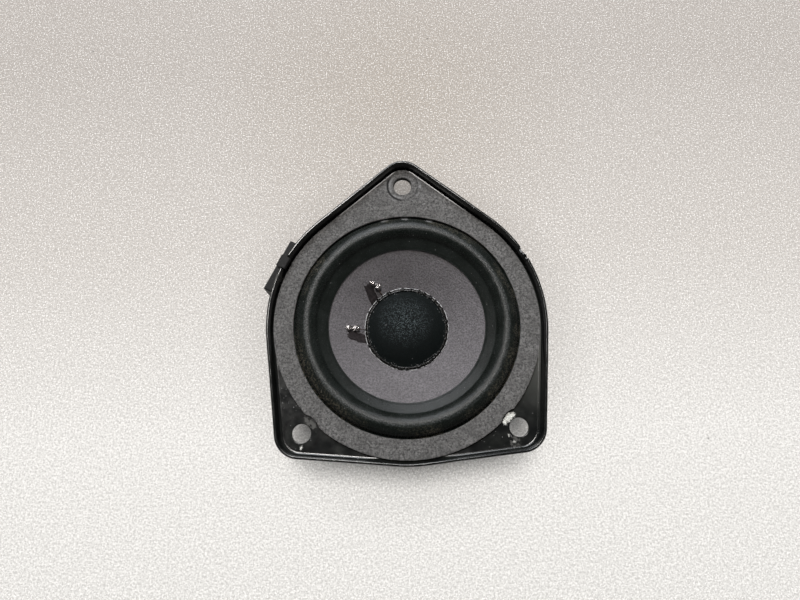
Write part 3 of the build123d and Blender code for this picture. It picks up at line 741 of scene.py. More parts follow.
def turned_steel(name, tint):
    """Zinc-plated steel with fine turning marks, dull patches and a few dark scratches."""
    s = Shader(name, Metallic=1.0)
    marks = s.add("ShaderNodeCombineXYZ", {0: s.radius(), 1: s.place}).outputs[0]
    rings = s.noise(0.12, 3, 0.6, marks)
    dull = s.spread(s.noise(5.0, 5, 0.65), 0.35, 0.7)
    base = s.mix(dull, rgb(*tint), rgb(*(0.62 * c for c in tint)))
    base = s.mix(s.specks(1.6, 0.3, 0.15), base, rgb(0.12, 0.1, 0.08))
    rough = s.spread(dull, 0, 1, 0.26, 0.5)
    return s.finish(base, rough, s.bump(rings, 0.02))


def ferrite():
    """Ground sintered ferrite: near black, faintly granular, with chipped paler edges."""
    s = Shader("ferrite", IOR=1.55)
    grain = s.noise(0.3, 5, 0.7)
    base = s.mix(s.spread(grain, 0.3, 0.7), grey(0.014, 0.02), grey(0.036, 0.02))
    base = s.mix(s.specks(1.3, 0.2, 0.3), base, grey(0.11))
    rough = s.spread(s.noise(2.5, 4), 0.35, 0.65, 0.5, 0.7)
    pits = s.bump(grain, 0.05)
    return s.finish(base, rough, s.bump(s.noise(2.2, 3), 0.12, pits))


def moulded_nylon():
    """Black glass-filled nylon: fine spark grain with faint flow marks."""
    s = Shader("connector_nylon", Specular_IOR_Level=0.07)
    flow = s.spread(s.noise(3.0, 4, 0.6, s.stretched(1, 0.4, 1)), 0.35, 0.65)
    base = s.mix(flow, grey(0.008, 0.01), grey(0.018, 0.01))
    base = s.mix(s.specks(0.9, 0.1, 0.3), base, grey(0.1))
    rough = s.spread(flow, 0, 1, 0.42, 0.58)
    return s.finish(base, rough, s.bump(s.noise(0.12, 3, 0.7), 0.025))


def bright_metal(name, tint, low, high, stained):
    """Plated or drawn metal with handling marks."""
    s = Shader(name, Metallic=1.0)
    stain_and_shadow = s.spread(s.noise(0.8, 5, 0.65), 0.42, 0.7)
    base = s.mix(stain_and_shadow, rgb(*tint), rgb(*(c * stained for c in tint)))
    rough = s.spread(s.noise(0.4, 4), 0.35, 0.65, low, high)
    return s.finish(base, rough, s.bump(s.noise(0.35, 4), 0.03))


def spider_cloth():
    """Resin-dipped cotton: an open plain weave, darker in the valleys."""
    s = Shader("spider_cloth", Roughness=0.7, Sheen_Weight=0.2)
    warp = s.add("ShaderNodeTexWave", {"Vector": s.place, "Scale": 0.75, "Distortion": 0.6}, bands_direction="X")
    weft = s.add("ShaderNodeTexWave", {"Vector": s.place, "Scale": 0.75, "Distortion": 0.6}, bands_direction="Y")
    weave = s.math("MULTIPLY", warp.outputs[1], weft.outputs[1])
    base = s.mix(weave, rgb(0.16, 0.085, 0.03), rgb(0.42, 0.26, 0.11))
    blotch = s.spread(s.noise(4.0, 4), 0.4, 0.65)
    base = s.mix(s.math("MULTIPLY", blotch, 0.4), base, rgb(0.3, 0.16, 0.06))
    return s.finish(base, None, s.bump(weave, 0.12))


def wound_copper():
    """Enamelled wire laid turn by turn."""
    s = Shader("coil_copper", Metallic=0.9)
    turns = s.add("ShaderNodeTexWave", {"Vector": s.place, "Scale": 1.6}, bands_direction="Z").outputs[1]
    base = s.mix(turns, rgb(0.34, 0.1, 0.035), rgb(0.72, 0.3, 0.12))
    rough = s.spread(s.noise(1.0, 3), 0.35, 0.65, 0.25, 0.42)
    return s.finish(base, rough, s.bump(turns, 0.08))


def tinsel_braid():
    """Copper tinsel plaited over cotton, tarnished in places."""
    s = Shader("tinsel_braid", Metallic=0.7)
    strands = s.noise(0.12, 3, 0.6)
    base = s.mix(s.spread(strands, 0.35, 0.65), rgb(0.3, 0.16, 0.08), rgb(0.62, 0.42, 0.27))
    rough = s.spread(s.noise(0.6, 3), 0.35, 0.65, 0.32, 0.6)
    return s.finish(base, rough, s.bump(strands, 0.05))


def lacquer_brown():
    """Dark brown lacquer brushed over the paper, thin and blotchy at its edges."""
    s = Shader("lacquer_brown", IOR=1.5, Specular_IOR_Level=0.3)
    thin = s.spread(s.noise(0.8, 5, 0.65), 0.35, 0.7)
    base = s.mix(thin, rgb(0.008, 0.006, 0.0065), rgb(0.028, 0.023, 0.024))
    rough = s.spread(s.noise(0.5, 4), 0.35, 0.65, 0.4, 0.7)
    return s.finish(base, rough, s.bump(s.noise(0.4, 4), 0.08))


def floor_board():
    """Pale board with a fine grain, painted darker and warmer away from the viewer as light falls off, with a
    painted shadow on the far side and painted shade under the holes; it glows, less near the driver, which leaves
    painted shade round it.
    """
    s = Shader("floor_board", Roughness=0.8)
    # Painted shade: the colour darkens and warms along Y as the light falls off
    away = s.add("ShaderNodeSeparateXYZ", {0: s.place}).outputs[1]
    base = FLOOR_FALLOFF_TONES[0][1]
    for (near, _), (far, tone) in zip(FLOOR_FALLOFF_TONES, FLOOR_FALLOFF_TONES[1:]):
        base = s.mix(s.spread(away, near, far), base, tone)
    # Painted shadow: a soft dark warm patch on the far side of the floor
    stain_and_shadow = s.spread(s.gap(*FLOOR_SHADOW), FLOOR_SHADOW_R, 0.0, 0.0, 0.7)
    base = s.mix(stain_and_shadow, base, rgb(0.4, 0.355, 0.305))
    grain = s.spread(s.noise(0.75, 3, 0.75), 0.38, 0.62)
    base = s.mix(s.math("MULTIPLY", grain, 0.5), base, grey(0.24, 0.02))
    flakes = s.spread(s.noise(0.5, 2, 0.6), 0.55, 0.65)
    base = s.mix(s.math("MULTIPLY", flakes, 0.78), base, grey(1.0))
    flecks = s.math("MULTIPLY", s.specks(2.2, 0.45, 0.25), 0.2)
    base = s.mix(flecks, base, grey(1.0))
    for x, y, depth in FLOOR_SHADES:
        base = s.mix(s.spread(s.gap(x, y), 15.0, 8.0, 0.0, depth), base, grey(0.08))
    crumbs = s.math("MULTIPLY", s.specks(11.0, 0.5, 0.3), 0.6)
    base = s.mix(crumbs, base, grey(0.1, 0.02))
    s.link(base, "Emission Color")
    s.link(s.spread(s.gap(0.0, 3.0), FLOOR_SHADE_FROM, FLOOR_SHADE_TO, 0.03, FLOOR_GLOW), "Emission Strength")
    return s.finish(base, None, s.bump(grain, 0.1))


# ---------------------------------------------------------------- pieces of the frame


def along_rim(points, angle):
    """Distance round the rim from an angle to each plan point."""
    turn = np.degrees(np.arctan2(points[:, 1], points[:, 0])) % 360
    return RIM_R * np.radians(turn - angle)


def torn(points):
    """1 where the lip is torn, 0 elsewhere."""
    return smooth(CHIP_W / 2 - np.abs(along_rim(points, CHIP_ANGLE)), 0, 0.5)


def lip_drop(points):
    """How far the lip's top lies under its full height at each station round the frame."""
    at = raised(points, LIP_TOP)
    notch = smooth(NOTCH_W / 2 + 0.15 - np.abs(along_rim(points, CONNECTOR_ANGLE)), 0, 0.3)
    tear = CHIP_DEPTH * torn(points) * (0.65 + 0.6 * ripple(at, 0.9, 3))
    return NOTCH_DEPTH * notch + tear + 0.05 + 0.05 * ripple(at, 9.0, 1)


def frame_tray(skin, step=0.24):
    """Flange with its turned-up lip, the seat for the surround and three mounting holes."""
    bottom = FLANGE_TOP - SHEET_T
    foot = SHEET_T + LIP_FOOT_R
    profile = rounded(
        [
            (foot + 0.6, bottom, 0),
            (0, bottom, LIP_BEND_R),
            (0, LIP_TOP, LIP_EDGE_R),
            (SHEET_T, LIP_TOP, LIP_EDGE_R),
            (SHEET_T, FLANGE_TOP, LIP_FOOT_R),
            (foot + 0.25, FLANGE_TOP, 0),
            (foot + 0.6, FLANGE_TOP, 0),
        ],
        steps=7,
        closed=False,
    )
    points, directions = hull_outline(RIM_R, CORNER_R, HOLE_ANGLES, step)
    grid = np.empty((len(points), len(profile), 3))
    grid[..., :2] = points[:, None, :] - directions[:, None, :] * profile[None, :, :1]
    grid[..., 2] = profile[:, 1]
    share = smooth(profile[:, 1], FLANGE_TOP + LIP_BEND_R, LIP_TOP - LIP_EDGE_R)
    grid[..., 2] -= lip_drop(points)[:, None] * share
    lean = LIP_LEAN + 0.06 * ripple(raised(points, 0), 14.0, 5)
    lean += torn(points) * (0.15 + 0.7 * ripple(raised(points, 0), 1.0, 6))
    grid[..., :2] += directions[:, None, :] * (lean[:, None] * share)[..., None]
    skin.grid(grid, wrap_rows=True)

    seat = rounded(
        [
            (SEAT_R + 0.5, FLANGE_TOP, 0),
            (SEAT_R + 0.3, FLANGE_TOP, 0),
            (SEAT_R, FLANGE_TOP, 0.16),
            (SEAT_R, SEAT_TOP, 0.16),
            (BOWL_R - SHEET_T / 2, SEAT_TOP, 0.9),
            (BOWL_R - SHEET_T / 2, SEAT_TOP - 3.2, 0),
            (BOWL_R + SHEET_T / 2, SEAT_TOP - 3.2, 0),
            (BOWL_R + SHEET_T / 2, SEAT_TOP - SHEET_T, 0.6),
            (SEAT_R + 0.5, SEAT_TOP - SHEET_T, 0.2),
            (SEAT_R + 0.5, bottom, 0.1),
            (SEAT_R + 0.6, bottom, 0),
        ],
        closed=False,
    )
    skin.grid(revolved(seat), wrap_rows=True)

    rims = []
    for angle in HOLE_ANGLES:
        centre = polar(HOLE_CIRCLE_R, angle)
        hole = rounded(
            [
                (HOLE_R + 0.35, FLANGE_TOP, 0),
                (HOLE_R, FLANGE_TOP, 0.2),
                (HOLE_R, bottom, 0.12),
                (HOLE_R + 0.35, bottom, 0),
            ],
            closed=False,
        )
        wall = revolved(hole, 64)
        wall[..., :2] += centre
        skin.grid(wall, wrap_rows=True)
        rims.append(circle(centre, HOLE_R + 0.35, 64))

    for height, column, inner_r in ((FLANGE_TOP, -1, SEAT_R + 0.5), (bottom, 0, SEAT_R + 0.6)):
        edge = grid[:, column, :2]
        edge_angle = np.arctan2(edge[:, 1], edge[:, 0])
        order = np.argsort(edge_angle)
        reach = np.hypot(edge[:, 0], edge[:, 1])

        def inside(plan, margin):
            angle = np.arctan2(plan[:, 1], plan[:, 0])
            limit = np.interp(angle, edge_angle[order], reach[order], period=2 * math.pi)
            radius = np.hypot(plan[:, 0], plan[:, 1])
            within = (radius < limit - margin) & (radius > inner_r + margin)
            return within & clear_of_holes(plan, HOLE_R + 0.33 + margin)

        plan, faces = filled([edge, circle((0, 0), inner_r, STATIONS), *rims], inside, 1.2)
        skin.add(raised(plan, height), faces)


def frame_bowl(name, material):
    """Pressed bowl: wall, knee, spider ledge, step and floor, with windows between its legs."""
    half = SHEET_T / 2
    path = rounded(
        [
            (BOWL_R, SEAT_TOP - 1.2, 0),
            (BOWL_R, BOWL_KNEE_Z, PRESS_BEND_R),
            (LEDGE_OUTER_R, LEDGE_TOP - half, PRESS_BEND_R),
            (STEP_R, LEDGE_TOP - half, PRESS_BEND_R),
            (FLOOR_OUTER_R, FLOOR_Z + half, PRESS_BEND_R),
            (FLOOR_INNER_R, FLOOR_Z + half, 0),
        ],
        closed=False,
    )
    lengths = np.concatenate([[0], np.cumsum(np.linalg.norm(np.diff(path, axis=0), axis=1))])
    top = SEAT_TOP - 1.2 - WINDOW_TOP
    ledge = np.interp(-WINDOW_INNER_R, -path[:, 0], lengths)
    width = 2 * math.pi * BOWL_R
    windows = []
    for i, (angle, half_angle) in enumerate(LEGS):
        after, after_half = LEGS[(i + 1) % len(LEGS)]
        after += 360.0 * (after <= angle)
        sides = np.radians((angle + half_angle, after - after_half)) * BOWL_R
        corners = [(sides[0], top), (sides[1], top), (sides[1], ledge), (sides[0], ledge)]
        windows.append(refined(rounded([(*c, WINDOW_CORNER_R) for c in corners], 8), 0.8))
    shift = LEGS[0][0] - 10
    origin = math.radians(shift) * BOWL_R
    around = np.linspace(0, width, 220, endpoint=True) + origin
    rows = np.unique(np.concatenate([lengths, np.arange(0, lengths[-1], 0.9)]))
    left = np.column_stack([np.full(len(rows), around[0]), rows])
    right = np.column_stack([np.full(len(rows), around[-1]), rows])
    near = np.column_stack([around, np.zeros(len(around))])
    far = np.column_stack([around, np.full(len(around), lengths[-1])])
    border = np.vstack([near[:-1], right[:-1], far[::-1][:-1], left[::-1][:-1]])

    def in_window(plan, margin):
        hit = np.zeros(len(plan), bool)
        for loop in windows:
            low, high = loop.min(axis=0) - margin, loop.max(axis=0) + margin
            centre, size = (low + high) / 2, (high - low) / 2 - WINDOW_CORNER_R - margin
            gap = np.maximum(np.abs(plan - centre) - size, 0)
            hit |= np.hypot(gap[:, 0], gap[:, 1]) < WINDOW_CORNER_R + margin - 0.01
        return hit

    u, v = np.meshgrid(around[1:-1], rows[1:-1])
    inner = np.stack([u.ravel(), v.ravel()], axis=1)
    inner = inner[~in_window(inner, 0.35)]
    loops = [border, *windows]
    points = [Vector(p) for loop in loops for p in loop] + [Vector(p) for p in inner]
    edges, first = [], 0
    for loop in loops:
        edges += [(first + i, first + (i + 1) % len(loop)) for i in range(len(loop))]
        first += len(loop)
    found = geometry.delaunay_2d_cdt(points, edges, [], 0, 1e-5)
    flat = np.array([tuple(p) for p in found[0]])
    faces = np.array([tuple(face) for face in found[2]])
    faces = faces[~in_window(flat[faces].mean(axis=1), 0.0)]
    angle = flat[:, 0] / BOWL_R
    radius = np.interp(flat[:, 1], lengths, path[:, 0])
    height = np.interp(flat[:, 1], lengths, path[:, 1])
    skin = Skin()
    skin.add(np.column_stack([radius * np.cos(angle), radius * np.sin(angle), height]), faces.tolist())
    bowl = skin.build(name, material)
    bowl.modifiers.new("sheet", "SOLIDIFY").thickness = SHEET_T * MM
    bowl.modifiers["sheet"].offset = 0
    edge = bowl.modifiers.new("edge", "BEVEL")
    edge.width = 0.14 * MM
    edge.segments = 2
    edge.limit_method = "ANGLE"
    edge.angle_limit = math.radians(50)
    return finished(bowl)


def basket_frame(material):
    skin = Skin()
    frame_tray(skin)
    fit(skin.build("frame_flange", material), "frame", "frame_paint", "basket_frame")
    fit(frame_bowl("frame_bowl", material), "frame", "frame_paint", "basket_frame")


def front_gasket(material):
    """Fibre ring with an ear: soft relief, ragged cut edges and the print of a screw head."""
    hull, _ = hull_outline(GASKET_OUTER_R, GASKET_EAR_R, HOLE_ANGLES[:1], 0.3)
    hull_angle = np.arctan2(hull[:, 1], hull[:, 0])
    order = np.argsort(hull_angle)
    hull_reach = np.hypot(hull[:, 0], hull[:, 1])

    def reach(angle):
        limit = np.interp(angle, hull_angle[order], hull_reach[order], period=2 * math.pi)
        for hole in HOLE_ANGLES[1:]:
            off = angle - math.radians(hole)
            side = HOLE_CIRCLE_R * np.sin(off)
            depth = np.sqrt(np.maximum(GASKET_NOTCH_R**2 - side**2, 0))
            notch = np.where((depth > 0) & (np.cos(off) > 0), HOLE_CIRCLE_R * np.cos(off) - depth, 99.0)
            limit = np.minimum(limit, notch)
        return limit

    def inside(plan, margin):
        angle = np.arctan2(plan[:, 1], plan[:, 0])
        radius = np.hypot(plan[:, 0], plan[:, 1])
        within = (radius < reach(angle) - margin) & (radius > GASKET_INNER_R + margin)
        return within & clear_of_holes(plan, GASKET_HOLE_R + margin - 0.02, HOLE_ANGLES[:1])

    angles = np.linspace(0, 2 * math.pi, 1300, endpoint=False)
    outer = np.stack([np.cos(angles), np.sin(angles)], axis=1) * reach(angles)[:, None]
    outer_wave = 0.05 * ripple(raised(outer, 0), 1.4, 11)
    tangent = np.roll(outer, -1, axis=0) - np.roll(outer, 1, axis=0)
    tangent /= np.linalg.norm(tangent, axis=1, keepdims=True)
    outward = np.stack([tangent[:, 1], -tangent[:, 0]], axis=1)
    outer += outward * (outer_wave[:, None] - 0.05)
    inner = circle((0, 0), GASKET_INNER_R, 900)
    inner *= 1 + 0.0012 * ripple(raised(inner, 0), 2.0, 12)[:, None]
    centre = polar(HOLE_CIRCLE_R, HOLE_ANGLES[0])
    hole = circle(centre, GASKET_HOLE_R, 90)
    round_off = 0.14
    loops = (
        (outer, -outward),
        (inner, inner / np.linalg.norm(inner, axis=1, keepdims=True)),
        (hole, (hole - centre) / GASKET_HOLE_R),
    )
    skin = Skin()
    tops, bottoms = [], []
    for loop, inward in loops:
        rows = [
            raised(loop + inward * round_off, GASKET_TOP),
            raised(loop + inward * round_off * 0.3, GASKET_TOP - round_off * 0.3),
            raised(loop, GASKET_TOP - round_off),
            raised(loop, FLANGE_TOP + 0.06),
            raised(loop + inward * 0.06, FLANGE_TOP),
        ]
        tops.append(loop + inward * round_off)
        bottoms.append(loop + inward * 0.06)
        skin.grid(gasket_relief(np.stack(rows, axis=1)), wrap_rows=True)
    plan, faces = filled(tops, inside, 0.62, seed=4)
    skin.add(gasket_relief(raised(plan, GASKET_TOP)), faces)
    plan, faces = filled(bottoms, inside, 0)
    skin.add(raised(plan, FLANGE_TOP), faces)
    gasket = skin.build("fibre_gasket", material)
    fit(gasket, "frame", "gasket_fibre", "front_gasket")


def gasket_relief(points):
    """Fibre lumps, and the screw head's print round the upper hole, on the gasket's upper points."""
    points = np.array(points, float)
    share = smooth(points[..., 2], GASKET_TOP - 0.3, GASKET_TOP)
    lumps = 0.045 * ripple(points, 1.3, 7) + 0.035 * ripple(points, 7.0, 8)
    gap = np.hypot(points[..., 0], points[..., 1] - HOLE_CIRCLE_R)
    print_depth = IMPRINT_DEPTH * (1 - smooth(gap, IMPRINT_R - 0.25, IMPRINT_R + 0.2))
    points[..., 2] += share * (lumps - 0.04 - print_depth)
    return points


def surround(material):
    """Half roll with a flat lap either side, slightly uneven as moulded rubber is."""
    def arc(radii, radius):
        """Height over the seat of an arc struck about the roll's centre."""
        return ROLL_HEIGHT - ROLL_ARC_R + np.sqrt(np.maximum(radius**2 - (radii - ROLL_CENTRE_R) ** 2, 0))

    def joined(first, second, ease):
        """The higher of two heights, with a fillet where they cross."""
        return (first + second + np.sqrt((first - second) ** 2 + ease**2)) / 2

    across = ROLL_ARC_R * np.sin(np.linspace(math.pi / 2, -math.pi / 2, 80))
    radii = [SURROUND_OUTER_R - 0.1, *np.linspace(34.0, 33.1, 4), *(ROLL_CENTRE_R + across)]
    inside = np.linspace(ROLL_CENTRE_R - ROLL_ARC_R - 0.1, SURROUND_INNER_R + 0.1, 12)
    radii = np.array([*radii, *inside])
    lap = RUBBER_T + INNER_LAP_SLOPE * np.maximum(0, np.minimum(radii, ROLL_CENTRE_R) - CONE_EDGE_R)
    lap = np.where(radii > ROLL_CENTRE_R, RUBBER_T, lap * smooth(radii, SURROUND_INNER_R - 0.6, CONE_EDGE_R + 0.5))
    over = SEAT_TOP + joined(arc(radii, ROLL_ARC_R), lap, 0.16) - 0.02
    under = SEAT_TOP + joined(arc(radii, ROLL_ARC_R - RUBBER_T), 0.0, 0.06)
    profile = [
        (SURROUND_OUTER_R, SEAT_TOP + 0.08),
        (SURROUND_OUTER_R, SEAT_TOP + RUBBER_T - 0.08),
        *zip(radii, over),
        (SURROUND_INNER_R, SEAT_TOP + RUBBER_T - 0.1),
        (SURROUND_INNER_R, SEAT_TOP + 0.04),
        *zip(radii[::-1], under[::-1]),
    ]

    def relief(points):
        radius = np.hypot(points[..., 0], points[..., 1])
        share = smooth(ROLL_ARC_R - np.abs(radius - ROLL_CENTRE_R), 0.2, 2.0)
        return share * (0.05 * ripple(points, 9.0, 21) + 0.02 * ripple(points, 1.5, 22))

    roll = turned_piece("rubber_surround", profile, material, relief, 400)
    fit_flexing(roll, "surround")


def cone(material):
    """Paper cone: felted front and back, flat rim under the surround."""
    drop = CONE_T * math.sqrt(1 + CONE_SLOPE**2)
    corners = [
        (CONE_NECK_R, cone_z(CONE_NECK_R), 0.1),
        (CONE_EDGE_R, SEAT_TOP - 0.02, 0.3),
        (CONE_RIM_R, SEAT_TOP - 0.02, 0.1),
        (CONE_RIM_R, SEAT_TOP - CONE_T, 0.1),
        (CONE_EDGE_R, SEAT_TOP - CONE_T, 0),
        (CONE_EDGE_R, SEAT_TOP - drop, 0.2),
        (CONE_NECK_R, cone_z(CONE_NECK_R) - drop, 0.1),
    ]
    profile = refined(rounded(corners, 4), 0.35)

    def relief(points):
        return 0.028 * ripple(points, 0.9, 31) + 0.03 * ripple(points, 6.0, 32) - 0.02

    paper = turned_piece("paper_cone", profile, material, relief, 420)
    fit(paper, "diaphragm", "cone_paper", "cone")


def dust_cap(material):
    """Felt dome of one thickness, slightly dented and lumpy."""
    sphere_r = (CAP_R**2 + CAP_HEIGHT**2) / (2 * CAP_HEIGHT)
    centre_z = CAP_Z + CAP_HEIGHT - sphere_r
    edge = math.asin((CAP_R - 0.1) / sphere_r)
    over = [(sphere_r * math.sin(a), centre_z + sphere_r * math.cos(a)) for a in np.linspace(0, edge, 40)]
    inside_r = sphere_r - CAP_T
    inner_edge = math.acos((CAP_Z - centre_z) / inside_r)
    under = [(inside_r * math.sin(a), centre_z + inside_r * math.cos(a)) for a in np.linspace(inner_edge, 0, 24)]
    grid = revolved([*over, (CAP_R, CAP_Z + 0.1), (CAP_R - 0.1, CAP_Z), *under], 300)
    radius = np.hypot(grid[..., 0], grid[..., 1])
    flat = grid.copy()
    flat[..., 2] = 0
    lumps = 0.035 * ripple(flat, 0.8, 41) + 0.09 * ripple(flat, 7.0, 42) - 0.05
    grid[..., 2] += lumps * (1 - smooth(radius, CAP_R - 1.2, CAP_R))
    skin = Skin()
    skin.grid(grid, wrap_rows=True)
    fit(skin.build("felt_cap", material), "diaphragm", "cap_felt", "dust_cap")


def dust_cap_bead(material):
    """Ring of glossy glue round the cap, laid by hand: its width and height wander."""
    inner_r = CAP_R - CAP_T
    profile = refined(
        rounded(
            [
                (inner_r - CAP_T, cone_z(inner_r - CAP_T) + 0.06, 0),
                (inner_r - CAP_T, CAP_Z - 0.05, 0),
                (CAP_R + 0.03, CAP_Z - 0.05, 0),
                (CAP_R + 0.03, CAP_Z + 0.5, 0.06),
                (CAP_R + 0.35, CAP_Z + 0.46, 0.2),
                (BEAD_OUTER_R, cone_z(BEAD_OUTER_R) + 0.14, 0.4),
                (GLUE_EDGE_R, cone_z(GLUE_EDGE_R) + 0.07, 0.05),
            ],
            4,
        ),
        0.2,
    )
    grid = revolved(profile, 640)
    radius = np.hypot(grid[..., 0], grid[..., 1])
    share = smooth(radius, CAP_R + 0.05, GLUE_EDGE_R)
    middle = grid.copy()
    middle[..., 2] = 0
    middle[..., :2] *= (CAP_R / radius)[..., None]
    wander = 0.16 * ripple(middle, 1.6, 51) + 0.12 * ripple(middle, 4.5, 52) - 0.06
    grid[..., :2] *= (1 + share * wander / radius)[..., None]
    grid[..., 2] += CONE_SLOPE * share * wander
    blobs = smooth(ripple(middle, 1.1, 53), 0.05, 0.7) * 0.3
    grid[..., 2] += blobs * share * (1 - share) * 4 * smooth(grid[..., 2], CAP_Z, CAP_Z + 0.3)
    skin = Skin()
    skin.grid(grid, wrap_rows=True, wrap_columns=True)
    fit(skin.build("cap_glue", material), "diaphragm", "black_glue", "dust_cap_bead")


def spider(material):
    """Corrugated cloth disc between the coil former and the frame's ledge."""
    count = 2 * SPIDER_WAVES * 9
    radii = np.linspace(SPIDER_WAVES_FROM, SPIDER_WAVES_TO, count)
    waves = SPIDER_WAVE_H * np.sin((radii - SPIDER_WAVES_FROM) / (SPIDER_WAVES_TO - SPIDER_WAVES_FROM) * 2 * math.pi * SPIDER_WAVES)
    middle = [(SPIDER_INNER_R, SPIDER_MID_Z), *zip(radii, SPIDER_MID_Z + waves)]
    middle += [(r, SPIDER_MID_Z) for r in np.linspace(SPIDER_WAVES_TO + 0.5, SPIDER_OUTER_R, 6)]
    middle = np.array(middle)
    along = np.gradient(middle, axis=0)
    along /= np.linalg.norm(along, axis=1, keepdims=True)
    side = np.stack([-along[:, 1], along[:, 0]], axis=1) * SPIDER_T / 2
    profile = np.vstack([middle + side, (middle - side)[::-1]])

    def relief(points):
        return 0.02 * ripple(points, 1.2, 61)

    cloth = turned_piece("cloth_spider", profile, material, relief, 320)
    fit_flexing(cloth, "spider")


# ---------------------------------------------------------------- leads and solder


def connector_frame(points):
    """Points from the connector's own frame, with +X outward, turned into the driver's."""
    a = math.radians(CONNECTOR_ANGLE)
    points = np.asarray(points, float)
    turn = np.array(((math.cos(a), math.sin(a), 0), (-math.sin(a), math.cos(a), 0), (0, 0, 1)))
    return points @ turn


def curve_line(points, per_run=12):
    """Points along the NURBS curve that has these control points."""
    curve = bpy.data.curves.new("route", "CURVE")
    curve.dimensions = "3D"
    spline = curve.splines.new("NURBS")
    spline.points.add(len(points) - 1)
    for control, point in zip(spline.points, points):
        control.co = (*point, 1)
    spline.order_u = 3
    spline.use_endpoint_u = True
    spline.resolution_u = per_run
    holder = bpy.data.objects.new("route", curve)
    mesh = bpy.data.meshes.new_from_object(holder)
    line = np.array([v.co for v in mesh.vertices])
    bpy.data.objects.remove(holder)
    bpy.data.meshes.remove(mesh)
    return line


def line_frames(line):
    """Two directions square to the line at each of its points, without sudden turns."""
    along = np.gradient(line, axis=0)
    along /= np.linalg.norm(along, axis=1, keepdims=True)
    start = np.array((0.0, 0.0, 1.0)) if abs(along[0][2]) < 0.9 else np.array((1.0, 0.0, 0.0))
    firsts, seconds = [], []
    for direction in along:
        start = start - direction * (start @ direction)
        start = start / np.linalg.norm(start)
        firsts.append(start)
        seconds.append(np.cross(direction, start))
    return np.array(firsts), np.array(seconds)


def add_tube(skin, line, radius, sides=10):
    """Round tube along a line, closed at its ends. radius is one value or one for each point."""
    firsts, seconds = line_frames(line)
    radius = np.broadcast_to(radius, len(line))[:, None, None]
    angles = np.linspace(0, 2 * math.pi, sides, endpoint=False)
    ring = np.cos(angles)[None, :, None] * firsts[:, None] + np.sin(angles)[None, :, None] * seconds[:, None]
    grid = line[:, None] + ring * radius
    ends = [np.repeat(line[i][None, None], sides, axis=1) for i in (0, -1)]
    skin.grid(np.concatenate([ends[0], grid, ends[1]]), wrap_columns=True)


def add_twist(skin, line, strands, strand_r, lay_r, pitch):
    """Strands of one radius wound round a line."""
    firsts, seconds = line_frames(line)
    lengths = np.concatenate([[0], np.cumsum(np.linalg.norm(np.diff(line, axis=0), axis=1))])
    for k in range(strands):
        angle = 2 * math.pi * (lengths / pitch + k / strands)
        wound = line + lay_r * (np.cos(angle)[:, None] * firsts + np.sin(angle)[:, None] * seconds)
        add_tube(skin, wound, strand_r, 8)


def tinsel_lead(name, side, material):
    """Limp twisted lead from the cone down and across to the terminal's tag."""
    start = polar(LEAD_R, side * LEAD_OFFSET)
    points = [
        (*start, cone_z(LEAD_R) - 0.1),
        *[(x, side * y, z) for x, y, z in TINSEL_BENDS],
        (PIN_TAIL - 0.1, side * PIN_OFFSET, PIN_Z),
    ]
    line = curve_line(connector_frame(points), 24)
    skin = Skin()
    add_twist(skin, line, 4, 0.19, 0.2, 2.4)
    lead = skin.build("lead_" + name, material)
    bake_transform(lead)
    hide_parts("tinsel_lead_" + name)


def lump(skin, centre, axes, seed, rows=40, columns=40, rough=0.12):
    """Uneven rounded lump. axes are its three half lengths as vectors."""
    theta = np.linspace(0, math.pi, rows)[:, None]
    phi = np.linspace(0, 2 * math.pi, columns, endpoint=False)[None, :]
    unit = np.stack([np.cos(theta) * np.ones_like(phi), np.sin(theta) * np.cos(phi), np.sin(theta) * np.sin(phi)], axis=-1)
    uneven = 1 + rough * ripple(unit, 0.55, seed) + rough * 0.6 * ripple(unit, 0.2, seed + 1)
    grid = np.asarray(centre) + (unit * uneven[..., None]) @ np.asarray(axes)
    skin.grid(grid, wrap_columns=True)


def cone_axes(angle, turn):
    """Directions on the cone at an angle: along a plan heading, across it, and square to the face."""
    a = math.radians(angle)
    normal = np.array((-CONE_SLOPE * math.cos(a), -CONE_SLOPE * math.sin(a), 1))
    normal /= np.linalg.norm(normal)
    h = math.radians(angle + turn)
    heading = np.array((math.cos(h), math.sin(h), CONE_SLOPE * math.cos(math.radians(turn))))
    heading /= np.linalg.norm(heading)
    return heading, np.cross(normal, heading), normal


SOLDER = {
    "upper": {"angle": CONNECTOR_ANGLE - LEAD_OFFSET, "turn": 27.5, "length": 3.9, "seed": 71},
    "lower": {"angle": CONNECTOR_ANGLE + LEAD_OFFSET, "turn": 0.0, "length": 4.7, "seed": 75},
}


def solder_joint(name, angle, turn, length, seed, material):
    """Solder over the end of a tinsel lead: a main blob and smaller ones drawn out along the lead."""
    heading, across, normal = cone_axes(angle, turn)
    base = np.array((*polar(LEAD_R, angle), cone_z(LEAD_R)))
    skin = Skin()
    for shift, share, width, height in (
        (-0.22, 0.21, 0.85, 0.8),
        (0.02, 0.17, 0.42, 0.45),
        (0.27, 0.17, 0.68, 0.55),
        (0.45, 0.09, 0.35, 0.3),
    ):
        middle = base + heading * shift * length + normal * (0.25 + height * 0.35)
        axes = (heading * length * share, across * width, normal * height)
        lump(skin, middle, axes, seed, rough=0.45)
        seed += 2
    joint = skin.build("solder_" + name, material)
    fit(joint, "diaphragm", "solder", "solder_joint_" + name)


